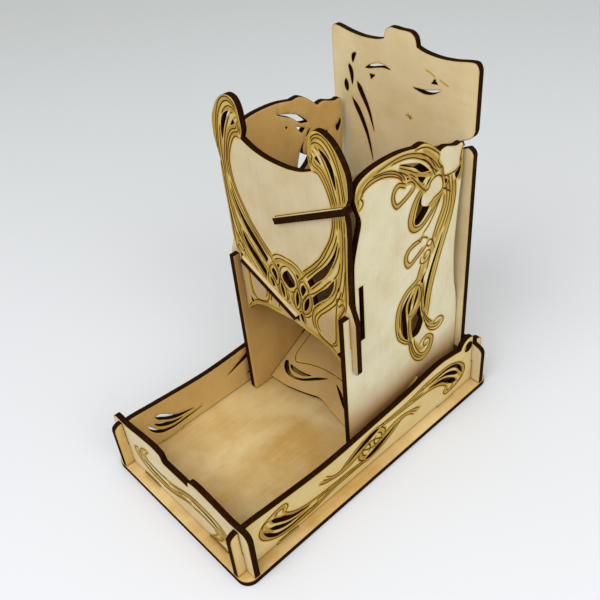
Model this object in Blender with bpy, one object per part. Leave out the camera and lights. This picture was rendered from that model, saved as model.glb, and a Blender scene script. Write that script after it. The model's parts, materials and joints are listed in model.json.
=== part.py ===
"""Knock-down dice tower with a walled tray, cut from one thickness of birch plywood.

Twelve flat plates slot together without glue. A base carries four tray walls that cross
each other near their ends. Two side panels stand on the base. The front panel drops over
fingers on their front edges, and the tall back board hangs by two ears in rings of the
long walls. Two sloping ramps throw the dice from side to side, and a floor ramp sends them
out under the front panel into the tray. The same board lies over the tray as its lid when
the tower is taken apart.

Metres, +Z up, +X to the tower's right, -Y to the tray's front. The origin is on the
underside of the base, at its middle.
"""

import math

import bpy
from mathutils import Matrix, Vector
from mathutils.geometry import delaunay_2d_cdt

MM = 0.001

# Sheet and fits
SHEET = 3.0 * MM
SLOT_CLEARANCE = 0.15 * MM
SEAT_GAP = 0.3 * MM

# Base and tray walls
BASE_WIDTH = 105.6 * MM
BASE_LENGTH = 175.6 * MM
BASE_CORNER = 6.0 * MM
SIDE_LEDGE = 6.3 * MM
END_LEDGE = 5.4 * MM
LONG_WALL_HEIGHT = 30.4 * MM
FRONT_WALL_HEIGHT = 32.6 * MM
BACK_WALL_HEIGHT = 26.8 * MM
LAP_HEIGHT = 13.5 * MM
TENON_WIDTH = 13.0 * MM

# Tower, which stands between the long walls and before the back wall
TOWER_DEPTH = 76.8 * MM
TOWER_SIDE_GAP = 5.0 * MM
TOWER_TO_BACK_WALL = 2.2 * MM
SIDE_RISE = 30.9 * MM
FINGER_WIDTH = 4.0 * MM
FINGER_RISE = 17.4 * MM
FLEX_STRIP = 3.2 * MM
FLEX_SLIT_WIDTH = 2.5 * MM
FLEX_SLIT_LENGTH = 30.0 * MM
FRONT_OVERHANG = 2.5 * MM
FRONT_DROP = 18.0 * MM
HORN_RISE = 49.7 * MM
LEG_WIDTH = 3.4 * MM
LEG_DEPTH = 17.5 * MM
BOARD_SIDE_PLAY = 1.1 * MM
BOARD_RISE = 52.9 * MM
NOTCH_LIP_WIDTH = 3.4 * MM
NOTCH_LIP_HEIGHT = 5.2 * MM

# Ears of the board and the rings that hold them
EAR_HEIGHT = 5.0 * MM
EAR_CLEARANCE = 0.15 * MM
RING_SINK = 1.5 * MM
RING_WALL = 3.2 * MM

# Ramps: heights are at the tower's middle. Each falls a little towards the board
RAMP_SPACING = 51.2 * MM
UPPER_RAMP_SLOPE = math.radians(27.2)
UPPER_BACK_FALL = math.radians(2.67)
UPPER_RAMP_DROP = 32.0 * MM
LOWER_RAMP_SLOPE = math.radians(25.0)
LOWER_BACK_FALL = math.radians(1.55)
LOWER_RAMP_HEIGHT = 75.5 * MM
LOWER_RAMP_DROP = 28.5 * MM
LOWER_TAB_SHOULDER = 3.0 * MM
RAMP_TAB_PROUD = 2.0 * MM
RAMP_TAB_CORNER = 1.8 * MM
RAMP_TAB_SETBACK = 1.2 * MM
FLOOR_RAMP_SLOPE = math.radians(29.3)
FLOOR_RAMP_FOOT = 9.2 * MM
FLOOR_TAB_LENGTH = 9.0 * MM
FLOOR_TAB_PLACE = 41.8 * MM
FLOOR_TAB_PROUD = 1.6 * MM
FLOOR_SLOT_SPARE = 3.0 * MM

# Places of the tenons, as shares of the piece's length
LONG_TENON_SHARE = 0.328
END_TENON_SHARE = 0.256
PANEL_TENON_SHARES = (0.26, 0.78)

# Tops of the tray walls: shares of the stretch between two crossings, or from a crossing to the
# wall's end, and of the wall's height
LONG_WALL_TOP_SHARES = (
    (0.000, 0.928), (0.029, 0.928), (0.130, 0.882), (0.331, 0.812), (0.533, 0.855), (0.701, 0.905),
    (0.868, 1.000), (0.935, 0.977), (0.994, 0.921),
)
LONG_FRONT_END_SHARES = ((1.000, 0.822), (0.879, 0.908), (0.455, 0.954), (0.030, 0.964))
LONG_BACK_END_SHARES = ((0.030, 0.905), (0.490, 0.885), (0.879, 0.829), (1.000, 0.740))
LAP_MOUTH_SHARE = 0.86
FRONT_WALL_TOP_SHARES = (
    (0.198, 0.830), (0.216, 0.860), (0.234, 0.957), (0.299, 0.991), (0.405, 1.000), (0.639, 0.963),
    (0.853, 0.920), (1.000, 0.933),
)
END_SHOULDER_SHARES = ((0.520, 0.930), (0.856, 0.880), (1.000, 0.800))

# Side panels: shares of the depth, and of the height from the finger's top to the panel's top
SIDE_FRONT_SHARES = (
    (0.099, 0.020), (0.099, 0.256), (0.106, 0.408), (0.139, 0.562), (0.163, 0.676), (0.141, 0.775),
    (0.124, 0.852),
)
SIDE_TOP_SHARES = (
    (0.124, 0.853), (0.141, 0.940), (0.201, 0.985), (0.309, 1.005), (0.454, 1.000),
    (0.575, 0.969),
)
SIDE_LOBE_SHARES = (
    (0.575, 0.969), (0.606, 0.973), (0.640, 0.969), (0.690, 0.935), (0.736, 0.886),
    (0.772, 0.845),
)
SIDE_PETAL_SHARES = (
    (0.772, 0.845), (0.797, 0.855), (0.830, 0.853), (0.871, 0.833), (0.914, 0.816),
    (0.945, 0.819), (0.965, 0.811),
)
SIDE_REAR_SHARES = (
    (0.965, 0.811), (0.972, 0.773), (0.976, 0.591), (0.959, 0.347), (0.944, 0.069),
    (0.944, -0.114), (0.959, -0.327), (0.988, -0.513), (1.000, -0.697),
)
SIDE_FOOT_SHARES = ((0.000, 0.039), (0.009, 0.012), (0.031, 0.000))

# Front panel: the arch has shares of half the way between the legs and of the drop below the
# lower ramp. The rest has shares of the panel's width, and of the height from the finger's top to
# the upper ramp's slot (flank, lip) or from that slot to the top (horn, mouth)
FRONT_ARCH_SHARES = (
    (0.000, 0.659), (0.283, 0.593), (0.566, 0.540), (0.764, 0.386), (0.891, 0.186), (0.968, 0.020),
)
FRONT_FLANK_SHARES = ((0.468, 0.150), (0.471, 0.205), (0.473, 0.467), (0.481, 0.740), (0.481, 0.860))
FRONT_LIP_SHARES = ((0.481, 0.860), (0.480, 0.915), (0.474, 0.960))
FRONT_HORN_SHARES = (
    (0.497, 0.090), (0.500, 0.198), (0.493, 0.459), (0.461, 0.678), (0.418, 0.856), (0.372, 0.958),
    (0.326, 1.000), (0.283, 0.962), (0.257, 0.827), (0.247, 0.641), (0.244, 0.459), (0.261, 0.311),
)
FRONT_MOUTH_SHARES = ((0.261, 0.311), (0.183, 0.214), (0.091, 0.157), (0.000, 0.143))

# Back board: shares of its width and height, and of the notch's lip
BOARD_TOP_SHARES = (
    (0.112, 0.999), (0.165, 0.991), (0.259, 0.987), (0.354, 0.991), (0.436, 0.999), (0.479, 0.999),
    (0.498, 0.984), (0.500, 0.966),
)
BOARD_TAB_SHARES = ((0.111, 1.003), (0.099, 1.024), (0.066, 1.036), (0.000, 1.036))
NOTCH_UPPER_LIP_SHARES = ((0.000, 0.000), (0.600, 0.320), (0.900, 0.700), (1.000, 1.000))
NOTCH_LOWER_LIP_SHARES = ((1.000, -0.550), (0.750, -0.230), (0.200, 0.000))
FLOOR_EDGE_SHARES = (
    (-0.500, 0.000), (-0.355, 0.004), (-0.284, 0.013), (-0.142, 0.040), (-0.050, 0.063), (0.000, 0.069),
    (0.050, 0.063), (0.142, 0.040), (0.284, 0.013), (0.355, 0.004), (0.500, 0.000),
)

# Cut-out blades: the spine's points, then the widest place along it and the width. The points are
# shares of the same box as the plate's outline, or as the horn's, and the width is a share of that
# box's height
FRONT_HORN_BLADE_SHARES = (
    (((0.320, 0.737), (0.373, 0.596), (0.403, 0.401), (0.421, 0.160)), 0.45, 0.0880),
)
BOARD_BLADE_SHARES = (
    (((-0.316, 0.931), (-0.337, 0.919), (-0.344, 0.898)), 0.50, 0.0122),
    (((-0.248, 0.894), (-0.184, 0.908), (-0.124, 0.915), (-0.066, 0.911)), 0.40, 0.0122),
    (((-0.373, 0.890), (-0.356, 0.863), (-0.353, 0.826)), 0.40, 0.0148),
    (((-0.401, 0.839), (-0.399, 0.818), (-0.394, 0.799)), 0.50, 0.0173),
    (((-0.314, 0.842), (-0.278, 0.806), (-0.229, 0.757), (-0.193, 0.694)), 0.30, 0.0167),
    (((-0.358, 0.784), (-0.295, 0.733), (-0.241, 0.668), (-0.205, 0.589)), 0.30, 0.0160),
    (((0.092, 0.880), (0.165, 0.877), (0.224, 0.884), (0.274, 0.897)), 0.50, 0.0122),
)
LONG_BLADE_SHARES = (
    (((-0.372, 0.638), (-0.342, 0.507), (-0.305, 0.359), (-0.242, 0.270)), 0.30, 0.1053),
    (((-0.380, 0.493), (-0.351, 0.362), (-0.320, 0.276), (-0.283, 0.243)), 0.35, 0.0724),
    (((-0.401, 0.546), (-0.379, 0.322), (-0.331, 0.181), (-0.211, 0.187)), 0.35, 0.0625),
    (((-0.103, 0.462), (-0.045, 0.592), (0.001, 0.674), (0.033, 0.701)), 0.60, 0.1000),
)
LONG_TURN_SHARES = (0.003, 0.461)
END_BLADE_SHARES = ((((-0.295, 0.405), (-0.237, 0.325), (-0.170, 0.298), (-0.091, 0.307)), 0.40, 0.0460),)
END_TURN_SHARES = (0.000, 0.411)

# Cut-outs with an outline of their own: each is a ring of runs, and two runs meet at a corner. On
# the board, the floor ramp and the side panels the points are shares of the outline's own box
BOARD_OPENING_SHARES = (
    (((-0.217, 0.878),), ((-0.177, 0.880),), ((-0.207, 0.864),)),
    (((0.212, 0.908),), ((0.251, 0.911),), ((0.233, 0.924),)),
)
FLOOR_OPENING_SHARES = (
    (
        (
            (-0.472, 0.153), (-0.453, 0.117), (-0.398, 0.083),
            (-0.305, 0.080), (-0.220, 0.105), (-0.131, 0.156),
        ),
        ((-0.043, 0.214), (-0.131, 0.178), (-0.227, 0.117), (-0.305, 0.093), (-0.376, 0.104)),
        ((-0.439, 0.153), (-0.455, 0.162)),
    ),
    (
        ((-0.413, 0.150), (-0.384, 0.129), (-0.327, 0.121), (-0.251, 0.132)),
        ((-0.183, 0.166), (-0.249, 0.153), (-0.332, 0.147)),
    ),
)
SIDE_OPENING_SHARES = (
    (((0.507, 0.798),), ((0.525, 0.787),), ((0.514, 0.776),)),
    (
        ((0.452, 0.917), (0.540, 0.880), (0.609, 0.842), (0.662, 0.784)),
        ((0.684, 0.753), (0.622, 0.775), (0.567, 0.836), (0.493, 0.887)),
    ),
    (((0.590, 0.758), (0.623, 0.739)), ((0.658, 0.715),), ((0.631, 0.690), (0.608, 0.721))),
    (((0.664, 0.643), (0.678, 0.676)), ((0.704, 0.693), (0.686, 0.669))),
    (
        ((0.643, 0.609), (0.612, 0.567), (0.583, 0.466), (0.578, 0.402), (0.617, 0.390), (0.666, 0.431)),
        ((0.697, 0.475), (0.662, 0.491), (0.628, 0.520), (0.628, 0.574)),
    ),
    (((0.823, 0.613), (0.840, 0.601)), ((0.841, 0.580),), ((0.830, 0.572),), ((0.824, 0.592),)),
    (
        ((0.954, 0.656), (0.957, 0.620), (0.944, 0.583)),
        ((0.927, 0.558), (0.914, 0.583)),
        ((0.912, 0.610), (0.932, 0.623)),
    ),
    (((0.685, -0.058), (0.652, -0.100)), ((0.640, -0.123),), ((0.657, -0.155), (0.664, -0.107))),
    (
        ((0.821, 0.184), (0.762, 0.037), (0.719, -0.081), (0.690, -0.193), (0.673, -0.321)),
        ((0.681, -0.406), (0.692, -0.294), (0.716, -0.170), (0.747, -0.052), (0.793, 0.077)),
    ),
    (
        (
            (0.566, -0.152), (0.519, -0.193), (0.476, -0.264),
            (0.466, -0.359), (0.471, -0.465), (0.504, -0.561),
        ),
        ((0.529, -0.594), (0.520, -0.459), (0.507, -0.288), (0.526, -0.212)),
    ),
    (
        ((0.575, -0.183), (0.535, -0.248), (0.528, -0.311)),
        ((0.534, -0.359), (0.547, -0.317), (0.557, -0.252)),
    ),
    (((0.616, -0.163), (0.590, -0.242)), ((0.566, -0.340), (0.600, -0.276), (0.618, -0.213))),
    (
        ((0.631, -0.336), (0.604, -0.385)),
        ((0.561, -0.414), (0.559, -0.502)),
        ((0.575, -0.613), (0.627, -0.607), (0.664, -0.523), (0.647, -0.439)),
    ),
)
# On the horns, heights are shares from the upper ramp's slot to the top
FRONT_HORN_OPENING_SHARES = (
    (((0.293, 0.547),), ((0.332, 0.483),), ((0.305, 0.607),)),
)
# Between the ramps, heights are shares of the ramps' spacing: above the lower ramp's slope for the
# leaves, above its middle for the oval. Those of the left side are written mirrored
FRONT_PAIR_OPENING_SHARES = (
    (
        ((0.413, 0.750), (0.377, 0.627), (0.320, 0.523), (0.239, 0.437)),
        ((0.161, 0.347),),
        ((0.178, 0.283), (0.234, 0.343), (0.293, 0.397), (0.339, 0.475), (0.390, 0.617)),
    ),
    (
        ((0.368, 0.366), (0.312, 0.284), (0.249, 0.234)),
        ((0.190, 0.170),),
        ((0.195, 0.083), (0.248, 0.135), (0.317, 0.195), (0.356, 0.281)),
    ),
    (((0.123, 0.303), (0.140, 0.253), (0.130, 0.221)), ((0.107, 0.178), (0.099, 0.229), (0.105, 0.283))),
    (((0.065, 0.426),), ((0.084, 0.404),), ((0.089, 0.383),), ((0.078, 0.371),)),
)
FRONT_RIGHT_OPENING_SHARES = (
    (((0.160, 0.162), (0.159, 0.104), (0.138, 0.034)), ((0.111, 0.007), (0.116, 0.078), (0.132, 0.128))),
    (((0.067, 0.233), (0.073, 0.174), (0.068, 0.099)), ((0.049, 0.048), (0.048, 0.142), (0.056, 0.200))),
    (((0.072, -0.044), (0.083, -0.029), (0.095, -0.065)), ((0.100, -0.143), (0.084, -0.104))),
)
FRONT_LEFT_OPENING_SHARES = (
    (((0.159, 0.153), (0.160, 0.117)), ((0.144, 0.064),), ((0.127, 0.089), (0.137, 0.130))),
    (((0.067, 0.231), (0.074, 0.169), (0.068, 0.115)), ((0.057, 0.063), (0.048, 0.115), (0.052, 0.174))),
)
FRONT_OVAL_OPENING_SHARES = (
    (
        ((0.000, 0.459), (-0.033, 0.412), (-0.051, 0.354), (-0.037, 0.305)),
        ((0.000, 0.264), (0.037, 0.305), (0.051, 0.354), (0.033, 0.412)),
    ),
)
# Under the lower ramp, heights are shares of the drop there
FRONT_LEG_OPENING_SHARES = (
    (((0.380, 0.572),), ((0.355, 0.428),), ((0.379, 0.372),)),
)
# Peak over the front panel's lower slot: shares of the slot's length from its right end, and of the
# drop below the ramp
SLOT_PEAK_SHARES = ((0.076, 0.000), (0.133, 0.157), (0.184, 0.000))

# Kind of mesh asked of the triangulation: triangles inside the outline
INSIDE = 1

# Counts of points on curves
CURVE_STEPS = 3
BLADE_STEPS = 6
ARC_STEPS = 6
CIRCLE_STEPS = 20
TIP_POWER = 0.95

# Finish of each plate: colour, roughness
PALE_BIRCH = ((0.80, 0.68, 0.46, 1.0), 0.55)
WARM_BIRCH = ((0.72, 0.55, 0.33, 1.0), 0.60)

# Places worked out from the sizes
BASE_TOP = SHEET
WALL_FOOT = BASE_TOP + SEAT_GAP
UPPER_RAMP_HEIGHT = LOWER_RAMP_HEIGHT + RAMP_SPACING
HALF_SHEET = SHEET / 2
LONG_WALL_FACE = BASE_WIDTH / 2 - SIDE_LEDGE
END_WALL_FACE = BASE_LENGTH / 2 - END_LEDGE
LONG_WALL_LENGTH = BASE_LENGTH - 2 * SEAT_GAP
END_WALL_LENGTH = BASE_WIDTH - 2 * SEAT_GAP
LONG_LAP = LONG_WALL_FACE - HALF_SHEET
END_LAP = END_WALL_FACE - HALF_SHEET
SLOT_HALF = HALF_SHEET + SLOT_CLEARANCE
PANEL_FACE = LONG_WALL_FACE - SHEET - TOWER_SIDE_GAP
PANEL_INSIDE = PANEL_FACE - SHEET
BOARD_FACE = END_WALL_FACE - 2 * SHEET - TOWER_TO_BACK_WALL
BOARD_MIDDLE = BOARD_FACE + HALF_SHEET
BOARD_WIDTH = 2 * (LONG_WALL_FACE - SHEET - BOARD_SIDE_PLAY)
TOWER_FRONT = BOARD_FACE - TOWER_DEPTH
FRONT_MIDDLE = TOWER_FRONT + HALF_SHEET
FRONT_BACK = TOWER_FRONT + SHEET
FRONT_WIDTH = 2 * (PANEL_FACE + FRONT_OVERHANG)
FRONT_BOTTOM = BASE_TOP + LOWER_RAMP_HEIGHT - FRONT_DROP
FRONT_TOP = BASE_TOP + UPPER_RAMP_HEIGHT + HORN_RISE
LEG_SEAT = FRONT_BOTTOM + LEG_DEPTH
FINGER_TOP = LEG_SEAT + FINGER_RISE
SIDE_START = TOWER_FRONT - SLOT_CLEARANCE - FINGER_WIDTH
SIDE_DEPTH = BOARD_FACE - SEAT_GAP - SIDE_START
SIDE_TOP = BASE_TOP + UPPER_RAMP_HEIGHT + SIDE_RISE
RING_CENTRE = BASE_TOP + LONG_WALL_TOP_SHARES[-1][1] * LONG_WALL_HEIGHT - RING_SINK
RING_HOLE = math.hypot(SHEET, EAR_HEIGHT) / 2 + EAR_CLEARANCE
RING_RADIUS = RING_HOLE + RING_WALL
BOARD_FOOT = RING_CENTRE - EAR_HEIGHT / 2
BOARD_HEIGHT = BASE_TOP + UPPER_RAMP_HEIGHT + BOARD_RISE - BOARD_FOOT


def smooth(knots, steps=CURVE_STEPS):
    """Points of the curve that runs through the knots, each side of a knot in line with it."""
    last = len(knots) - 1
    points = []
    for index in range(last):
        before = knots[max(index - 1, 0)]
        start = knots[index]
        end = knots[index + 1]
        after = knots[min(index + 2, last)]
        for step in range(steps):
            t = step / steps
            square, cube = t ** 2, t ** 3
            inner = (3 * cube - 5 * square + 2, 4 * square - 3 * cube + t)
            weights = (2 * square - cube - t, *inner, cube - square)
            knot_values = zip(before, start, end, after)
            points.append(tuple(sum(w * v for w, v in zip(weights, values)) / 2 for values in knot_values))
    points.append(tuple(knots[last]))
    return points


def arc(centre, radius, start, end, steps=ARC_STEPS):
    """Points of a round stretch from one angle to the other, in degrees."""
    angles = [math.radians(start + (end - start) * step / steps) for step in range(steps + 1)]
    return [(centre[0] + radius * math.cos(angle), centre[1] + radius * math.sin(angle)) for angle in angles]


def circle(centre, radius):
    """Closed round loop."""
    return arc(centre, radius, 0, 360, CIRCLE_STEPS)[:-1]


def rectangle(left, bottom, right, top):
    """Closed four-cornered loop."""
    return [(left, bottom), (right, bottom), (right, top), (left, top)]


def place(shares, corner, width, height):
    """Shares of a plate's width and height turned into points of the plate."""
    return [(corner[0] + u * width, corner[1] + v * height) for u, v in shares]


def mirrored(points):
    """The same run on the other side of the plate's middle, in the opposite order."""
    return [(-u, v) for u, v in reversed(points)]


def turned(points, centre):
    """Half a turn about a centre."""
    return [(2 * centre[0] - u, 2 * centre[1] - v) for u, v in points]


def blade(spine, belly, width):
    """Leaf-shaped loop along a curved spine: pointed at both ends and widest at the belly."""
    run = smooth(spine, BLADE_STEPS)
    picks = [run[round(step * (len(run) - 1) / BLADE_STEPS)] for step in range(BLADE_STEPS + 1)]
    skew = math.log(0.5) / math.log(belly)
    left = []
    right = []
    for step in range(1, BLADE_STEPS):
        before = Vector(picks[step - 1])
        after = Vector(picks[step + 1])
        along = (after - before).normalized()
        side = Vector((-along.y, along.x))
        swell = math.sin(math.pi * (step / BLADE_STEPS) ** skew) ** TIP_POWER
        middle = Vector(picks[step])
        left.append(tuple(middle + side * width / 2 * swell))
        right.append(tuple(middle - side * width / 2 * swell))
    return [picks[0]] + left + [picks[-1]] + list(reversed(right))


def blades(table, corner, width, height):
    """Loops of a table of blades in one box."""
    return [
        blade(place(spine, corner, width, height), belly, share * height)
        for spine, belly, share in table
    ]


def opening(runs):
    """Closed loop of runs, each smooth from its own first point to the first point of the next."""
    loop = []
    for run, after in zip(runs, runs[1:] + runs[:1]):
        steps = CURVE_STEPS if len(run) > 1 else 1
        loop += smooth([*run, after[0]], steps)[:-1]
    return loop


def openings(table, corner, width, height):
    """Loops of a table of openings in one box."""
    return [opening([place(run, corner, width, height) for run in runs]) for runs in table]


def signed_area(loop):
    """Twice the area inside a loop, positive when it runs anticlockwise."""
    ends = loop[1:] + loop[:1]
    return sum(a[0] * b[1] - b[0] * a[1] for a, b in zip(loop, ends))


def covers(loop, point):
    """Whether the loop goes round the point."""
    within = False
    for (ax, ay), (bx, by) in zip(loop, loop[1:] + loop[:1]):
        if (ay > point[1]) != (by > point[1]) and point[0] < ax + (point[1] - ay) / (by - ay) * (bx - ax):
            within = not within
    return within


def cleaned(loop):
    """The loop without points that stand on the one before."""
    near = SLOT_CLEARANCE / 10
    kept = []
    for point in loop:
        if not kept or math.dist(point, kept[-1]) > near:
            kept.append(point)
    if math.dist(kept[0], kept[-1]) <= near:
        kept.pop()
    return kept


def material(name, finish):
    """Plain surface in the plate's own colour."""
    colour, roughness = finish
    made = bpy.data.materials.new(name)
    made.use_nodes = True
    shader = made.node_tree.nodes["Principled BSDF"]
    shader.inputs["Base Color"].default_value = colour
    shader.inputs["Roughness"].default_value = roughness
    shader.inputs["Metallic"].default_value = 0.0
    return made


def plate(name, outline, holes, frame, finish):
    """A flat piece of sheet: an outline with holes, as thick as the sheet, on its frame.

    The loops lie on the frame's XY plane, which is the middle of the sheet.
    """
    loops = [cleaned(outline)] + [cleaned(hole) for hole in holes]
    for index, loop in enumerate(loops):
        if (signed_area(loop) > 0) != (index == 0):
            loop.reverse()
    flat = [Vector(point) / SHEET for loop in loops for point in loop]
    rims = []
    first = 0
    for loop in loops:
        count = len(loop)
        rims.extend((first + step, first + (step + 1) % count) for step in range(count))
        first += count
    points, _, cells, *_ = delaunay_2d_cdt(flat, rims, [], INSIDE, 1e-6)
    if len(points) != len(flat):
        crossings = [tuple(round(value * SHEET / MM, 1) for value in point) for point in points[len(flat):]]
        raise ValueError(f"{name}: the loops cross or touch near {crossings} mm")
    points = [tuple(point * SHEET) for point in points]
    total = len(points)
    vertices = [(*point, HALF_SHEET) for point in points] + [(*point, -HALF_SHEET) for point in points]
    faces = []
    for cell in cells:
        corners = [points[index] for index in cell]
        centre = [sum(values) / len(cell) for values in zip(*corners)]
        if any(covers(hole, centre) for hole in loops[1:]):
            continue
        top = list(cell) if signed_area(corners) > 0 else list(reversed(cell))
        faces.append(top)
        faces.append([index + total for index in reversed(top)])
    faces.extend([a + total, b + total, b, a] for a, b in rims)
    mesh = bpy.data.meshes.new(name)
    mesh.from_pydata(vertices, [], faces)
    mesh.update()
    mesh.materials.append(material(name + "_ply", finish))
    made = bpy.data.objects.new(name, mesh)
    made.matrix_world = frame
    bpy.context.scene.collection.objects.link(made)
    return made


def standing_along(across):
    """Frame of a plate that stands lengthwise: its X runs back, its Y up, at one place across."""
    axes = Matrix(((0, 0, 1), (1, 0, 0), (0, 1, 0))).to_4x4()
    return Matrix.Translation((across, 0, 0)) @ axes


def standing_across(along):
    """Frame of a plate that stands crosswise: its X runs right, its Y up, at one place along."""
    axes = Matrix(((1, 0, 0), (0, 0, -1), (0, 1, 0))).to_4x4()
    return Matrix.Translation((0, along, 0)) @ axes


def lying(height):
    """Frame of a plate that lies flat at one height."""
    return Matrix.Translation((0, 0, height))


def tenon(centre, low, high):
    """Points of a tenon below an edge that runs to the right."""
    left = centre - TENON_WIDTH / 2
    right = centre + TENON_WIDTH / 2
    return [(left, high), (left, low), (right, low), (right, high)]


def mortise(x, y, along_y):
    """Hole in the base for a tenon, with the plate's clearance round it."""
    long = TENON_WIDTH / 2 + SLOT_CLEARANCE
    half_x, half_y = (SLOT_HALF, long) if along_y else (long, SLOT_HALF)
    return rectangle(x - half_x, y - half_y, x + half_x, y + half_y)


def panel_tenons():
    """Places of the side panels' tenons along the tower."""
    return [SIDE_START + share * SIDE_DEPTH for share in PANEL_TENON_SHARES]


def base_plate():
    """Floor of the tray, with a mortise for every tenon that stands in it."""
    half_width = BASE_WIDTH / 2 - BASE_CORNER
    half_length = BASE_LENGTH / 2 - BASE_CORNER
    outline = []
    for x, y, start in ((1, 1, 0), (-1, 1, 90), (-1, -1, 180), (1, -1, 270)):
        outline += arc((x * half_width, y * half_length), BASE_CORNER, start, start + 90)
    holes = []
    for x in (-1, 1):
        for y in (-1, 1):
            holes.append(mortise(x * LONG_LAP, y * LONG_TENON_SHARE * LONG_WALL_LENGTH, True))
            holes.append(mortise(x * END_TENON_SHARE * END_WALL_LENGTH, y * END_LAP, False))
        for y in panel_tenons():
            holes.append(mortise(x * (PANEL_FACE - HALF_SHEET), y, True))
    plate("base_plate", outline, holes, lying(HALF_SHEET), WARM_BIRCH)


def wall_foot(reach, tenons):
    """Bottom edge of a wall or a panel from its low end to its high end, with its tenons."""
    low, high = reach
    run = [(low, WALL_FOOT)]
    for centre in tenons:
        run += tenon(centre, SEAT_GAP, WALL_FOOT)
    return run + [(high, WALL_FOOT)]


def long_wall(name, side):
    """Wall along the tray, notched from above where the end walls cross it."""
    corner = (0, BASE_TOP)
    half = LONG_WALL_LENGTH / 2
    near = END_LAP - SLOT_HALF
    far = END_LAP + SLOT_HALF
    lap_floor = BASE_TOP + LAP_HEIGHT
    mouth = BASE_TOP + LAP_MOUTH_SHARE * LONG_WALL_HEIGHT
    ring = (BOARD_MIDDLE, RING_CENTRE)
    ring_start = 180 - math.degrees(math.asin(RING_SINK / RING_RADIUS))
    ring_end = math.degrees(math.acos((near - BOARD_MIDDLE) / RING_RADIUS))
    run = BOARD_MIDDLE + RING_RADIUS * math.cos(math.radians(ring_start)) + near
    top = smooth(place(LONG_WALL_TOP_SHARES, (-near, BASE_TOP), run, LONG_WALL_HEIGHT))
    front_end = smooth(place(LONG_FRONT_END_SHARES, (-far, BASE_TOP), far - half, LONG_WALL_HEIGHT))
    back_end = smooth(place(LONG_BACK_END_SHARES, (far, BASE_TOP), half - far, LONG_WALL_HEIGHT))
    tenons = [-LONG_TENON_SHARE * LONG_WALL_LENGTH, LONG_TENON_SHARE * LONG_WALL_LENGTH]
    outline = wall_foot((-half, half), tenons)
    outline += list(reversed(back_end)) + [(far, lap_floor), (near, lap_floor)]
    outline += arc(ring, RING_RADIUS, ring_end, ring_start) + list(reversed(top))
    outline += [(-near, mouth), (-near, lap_floor), (-far, lap_floor)] + list(reversed(front_end))
    turn = place([LONG_TURN_SHARES], corner, LONG_WALL_LENGTH, LONG_WALL_HEIGHT)[0]
    leaves = blades(LONG_BLADE_SHARES, corner, LONG_WALL_LENGTH, LONG_WALL_HEIGHT)
    holes = leaves + [turned(leaf, turn) for leaf in leaves] + [circle(ring, RING_HOLE)]
    plate(name, outline, holes, standing_along(side * LONG_LAP), PALE_BIRCH)


def end_wall(name, side, height, top):
    """Wall across the tray, notched from below so that it drops over the long walls.

    The top is the run of its upper edge from the middle to the crossing on the right.
    """
    corner = (0, BASE_TOP)
    half = END_WALL_LENGTH / 2
    near = LONG_LAP - SLOT_HALF
    far = LONG_LAP + SLOT_HALF
    lap_roof = BASE_TOP + LAP_HEIGHT + SEAT_GAP
    shoulder = smooth(place(END_SHOULDER_SHARES, (far, BASE_TOP), half - far, height))
    centre = END_TENON_SHARE * END_WALL_LENGTH
    notch = [(near, WALL_FOOT), (near, lap_roof), (far, lap_roof), (far, WALL_FOOT)]
    right = [(0, WALL_FOOT)] + tenon(centre, SEAT_GAP, WALL_FOOT) + notch + [(half, WALL_FOOT)]
    right += list(reversed(shoulder)) + list(reversed(top))
    outline = right + mirrored(right)
    turn = place([END_TURN_SHARES], corner, END_WALL_LENGTH, FRONT_WALL_HEIGHT)[0]
    leaves = blades(END_BLADE_SHARES, corner, END_WALL_LENGTH, FRONT_WALL_HEIGHT)
    holes = leaves + [turned(leaf, turn) for leaf in leaves]
    plate(name, outline, holes, standing_across(side * END_LAP), PALE_BIRCH)


def front_wall_top():
    """Wavy top of the front wall, with the recess that takes the lid's tab."""
    wave = smooth(place(FRONT_WALL_TOP_SHARES, (0, BASE_TOP), LONG_LAP + SLOT_HALF, FRONT_WALL_HEIGHT))
    return [(0, wave[0][1])] + wave


def back_wall_top():
    """Level top of the back wall, which the lid's hinge end passes over."""
    top = BASE_TOP + BACK_WALL_HEIGHT
    return [(0, top), (LONG_LAP - SLOT_HALF, top)]


def ramp_height(across, along, sign, slope, back_fall, height):
    """Height of a ramp's middle plane at a place in the plan."""
    fall = math.tan(back_fall) * (along - FRONT_MIDDLE)
    return BASE_TOP + height + sign * math.tan(slope) * across - fall


def ramp_slot(left, right, along, sign, slope, back_fall, height):
    """Four corners of the slot that a ramp's tab passes through, in an upright plate's plane.

    It is the sheet's slice at the plate, with the slot clearance and the fall over the
    plate's thickness.
    """
    half = SLOT_HALF / math.cos(slope) + HALF_SHEET * math.tan(back_fall)
    low = [(x, ramp_height(x, along, sign, slope, back_fall, height) - half) for x in (left, right)]
    high = [(x, ramp_height(x, along, sign, slope, back_fall, height) + half) for x in (right, left)]
    return low + high


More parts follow.
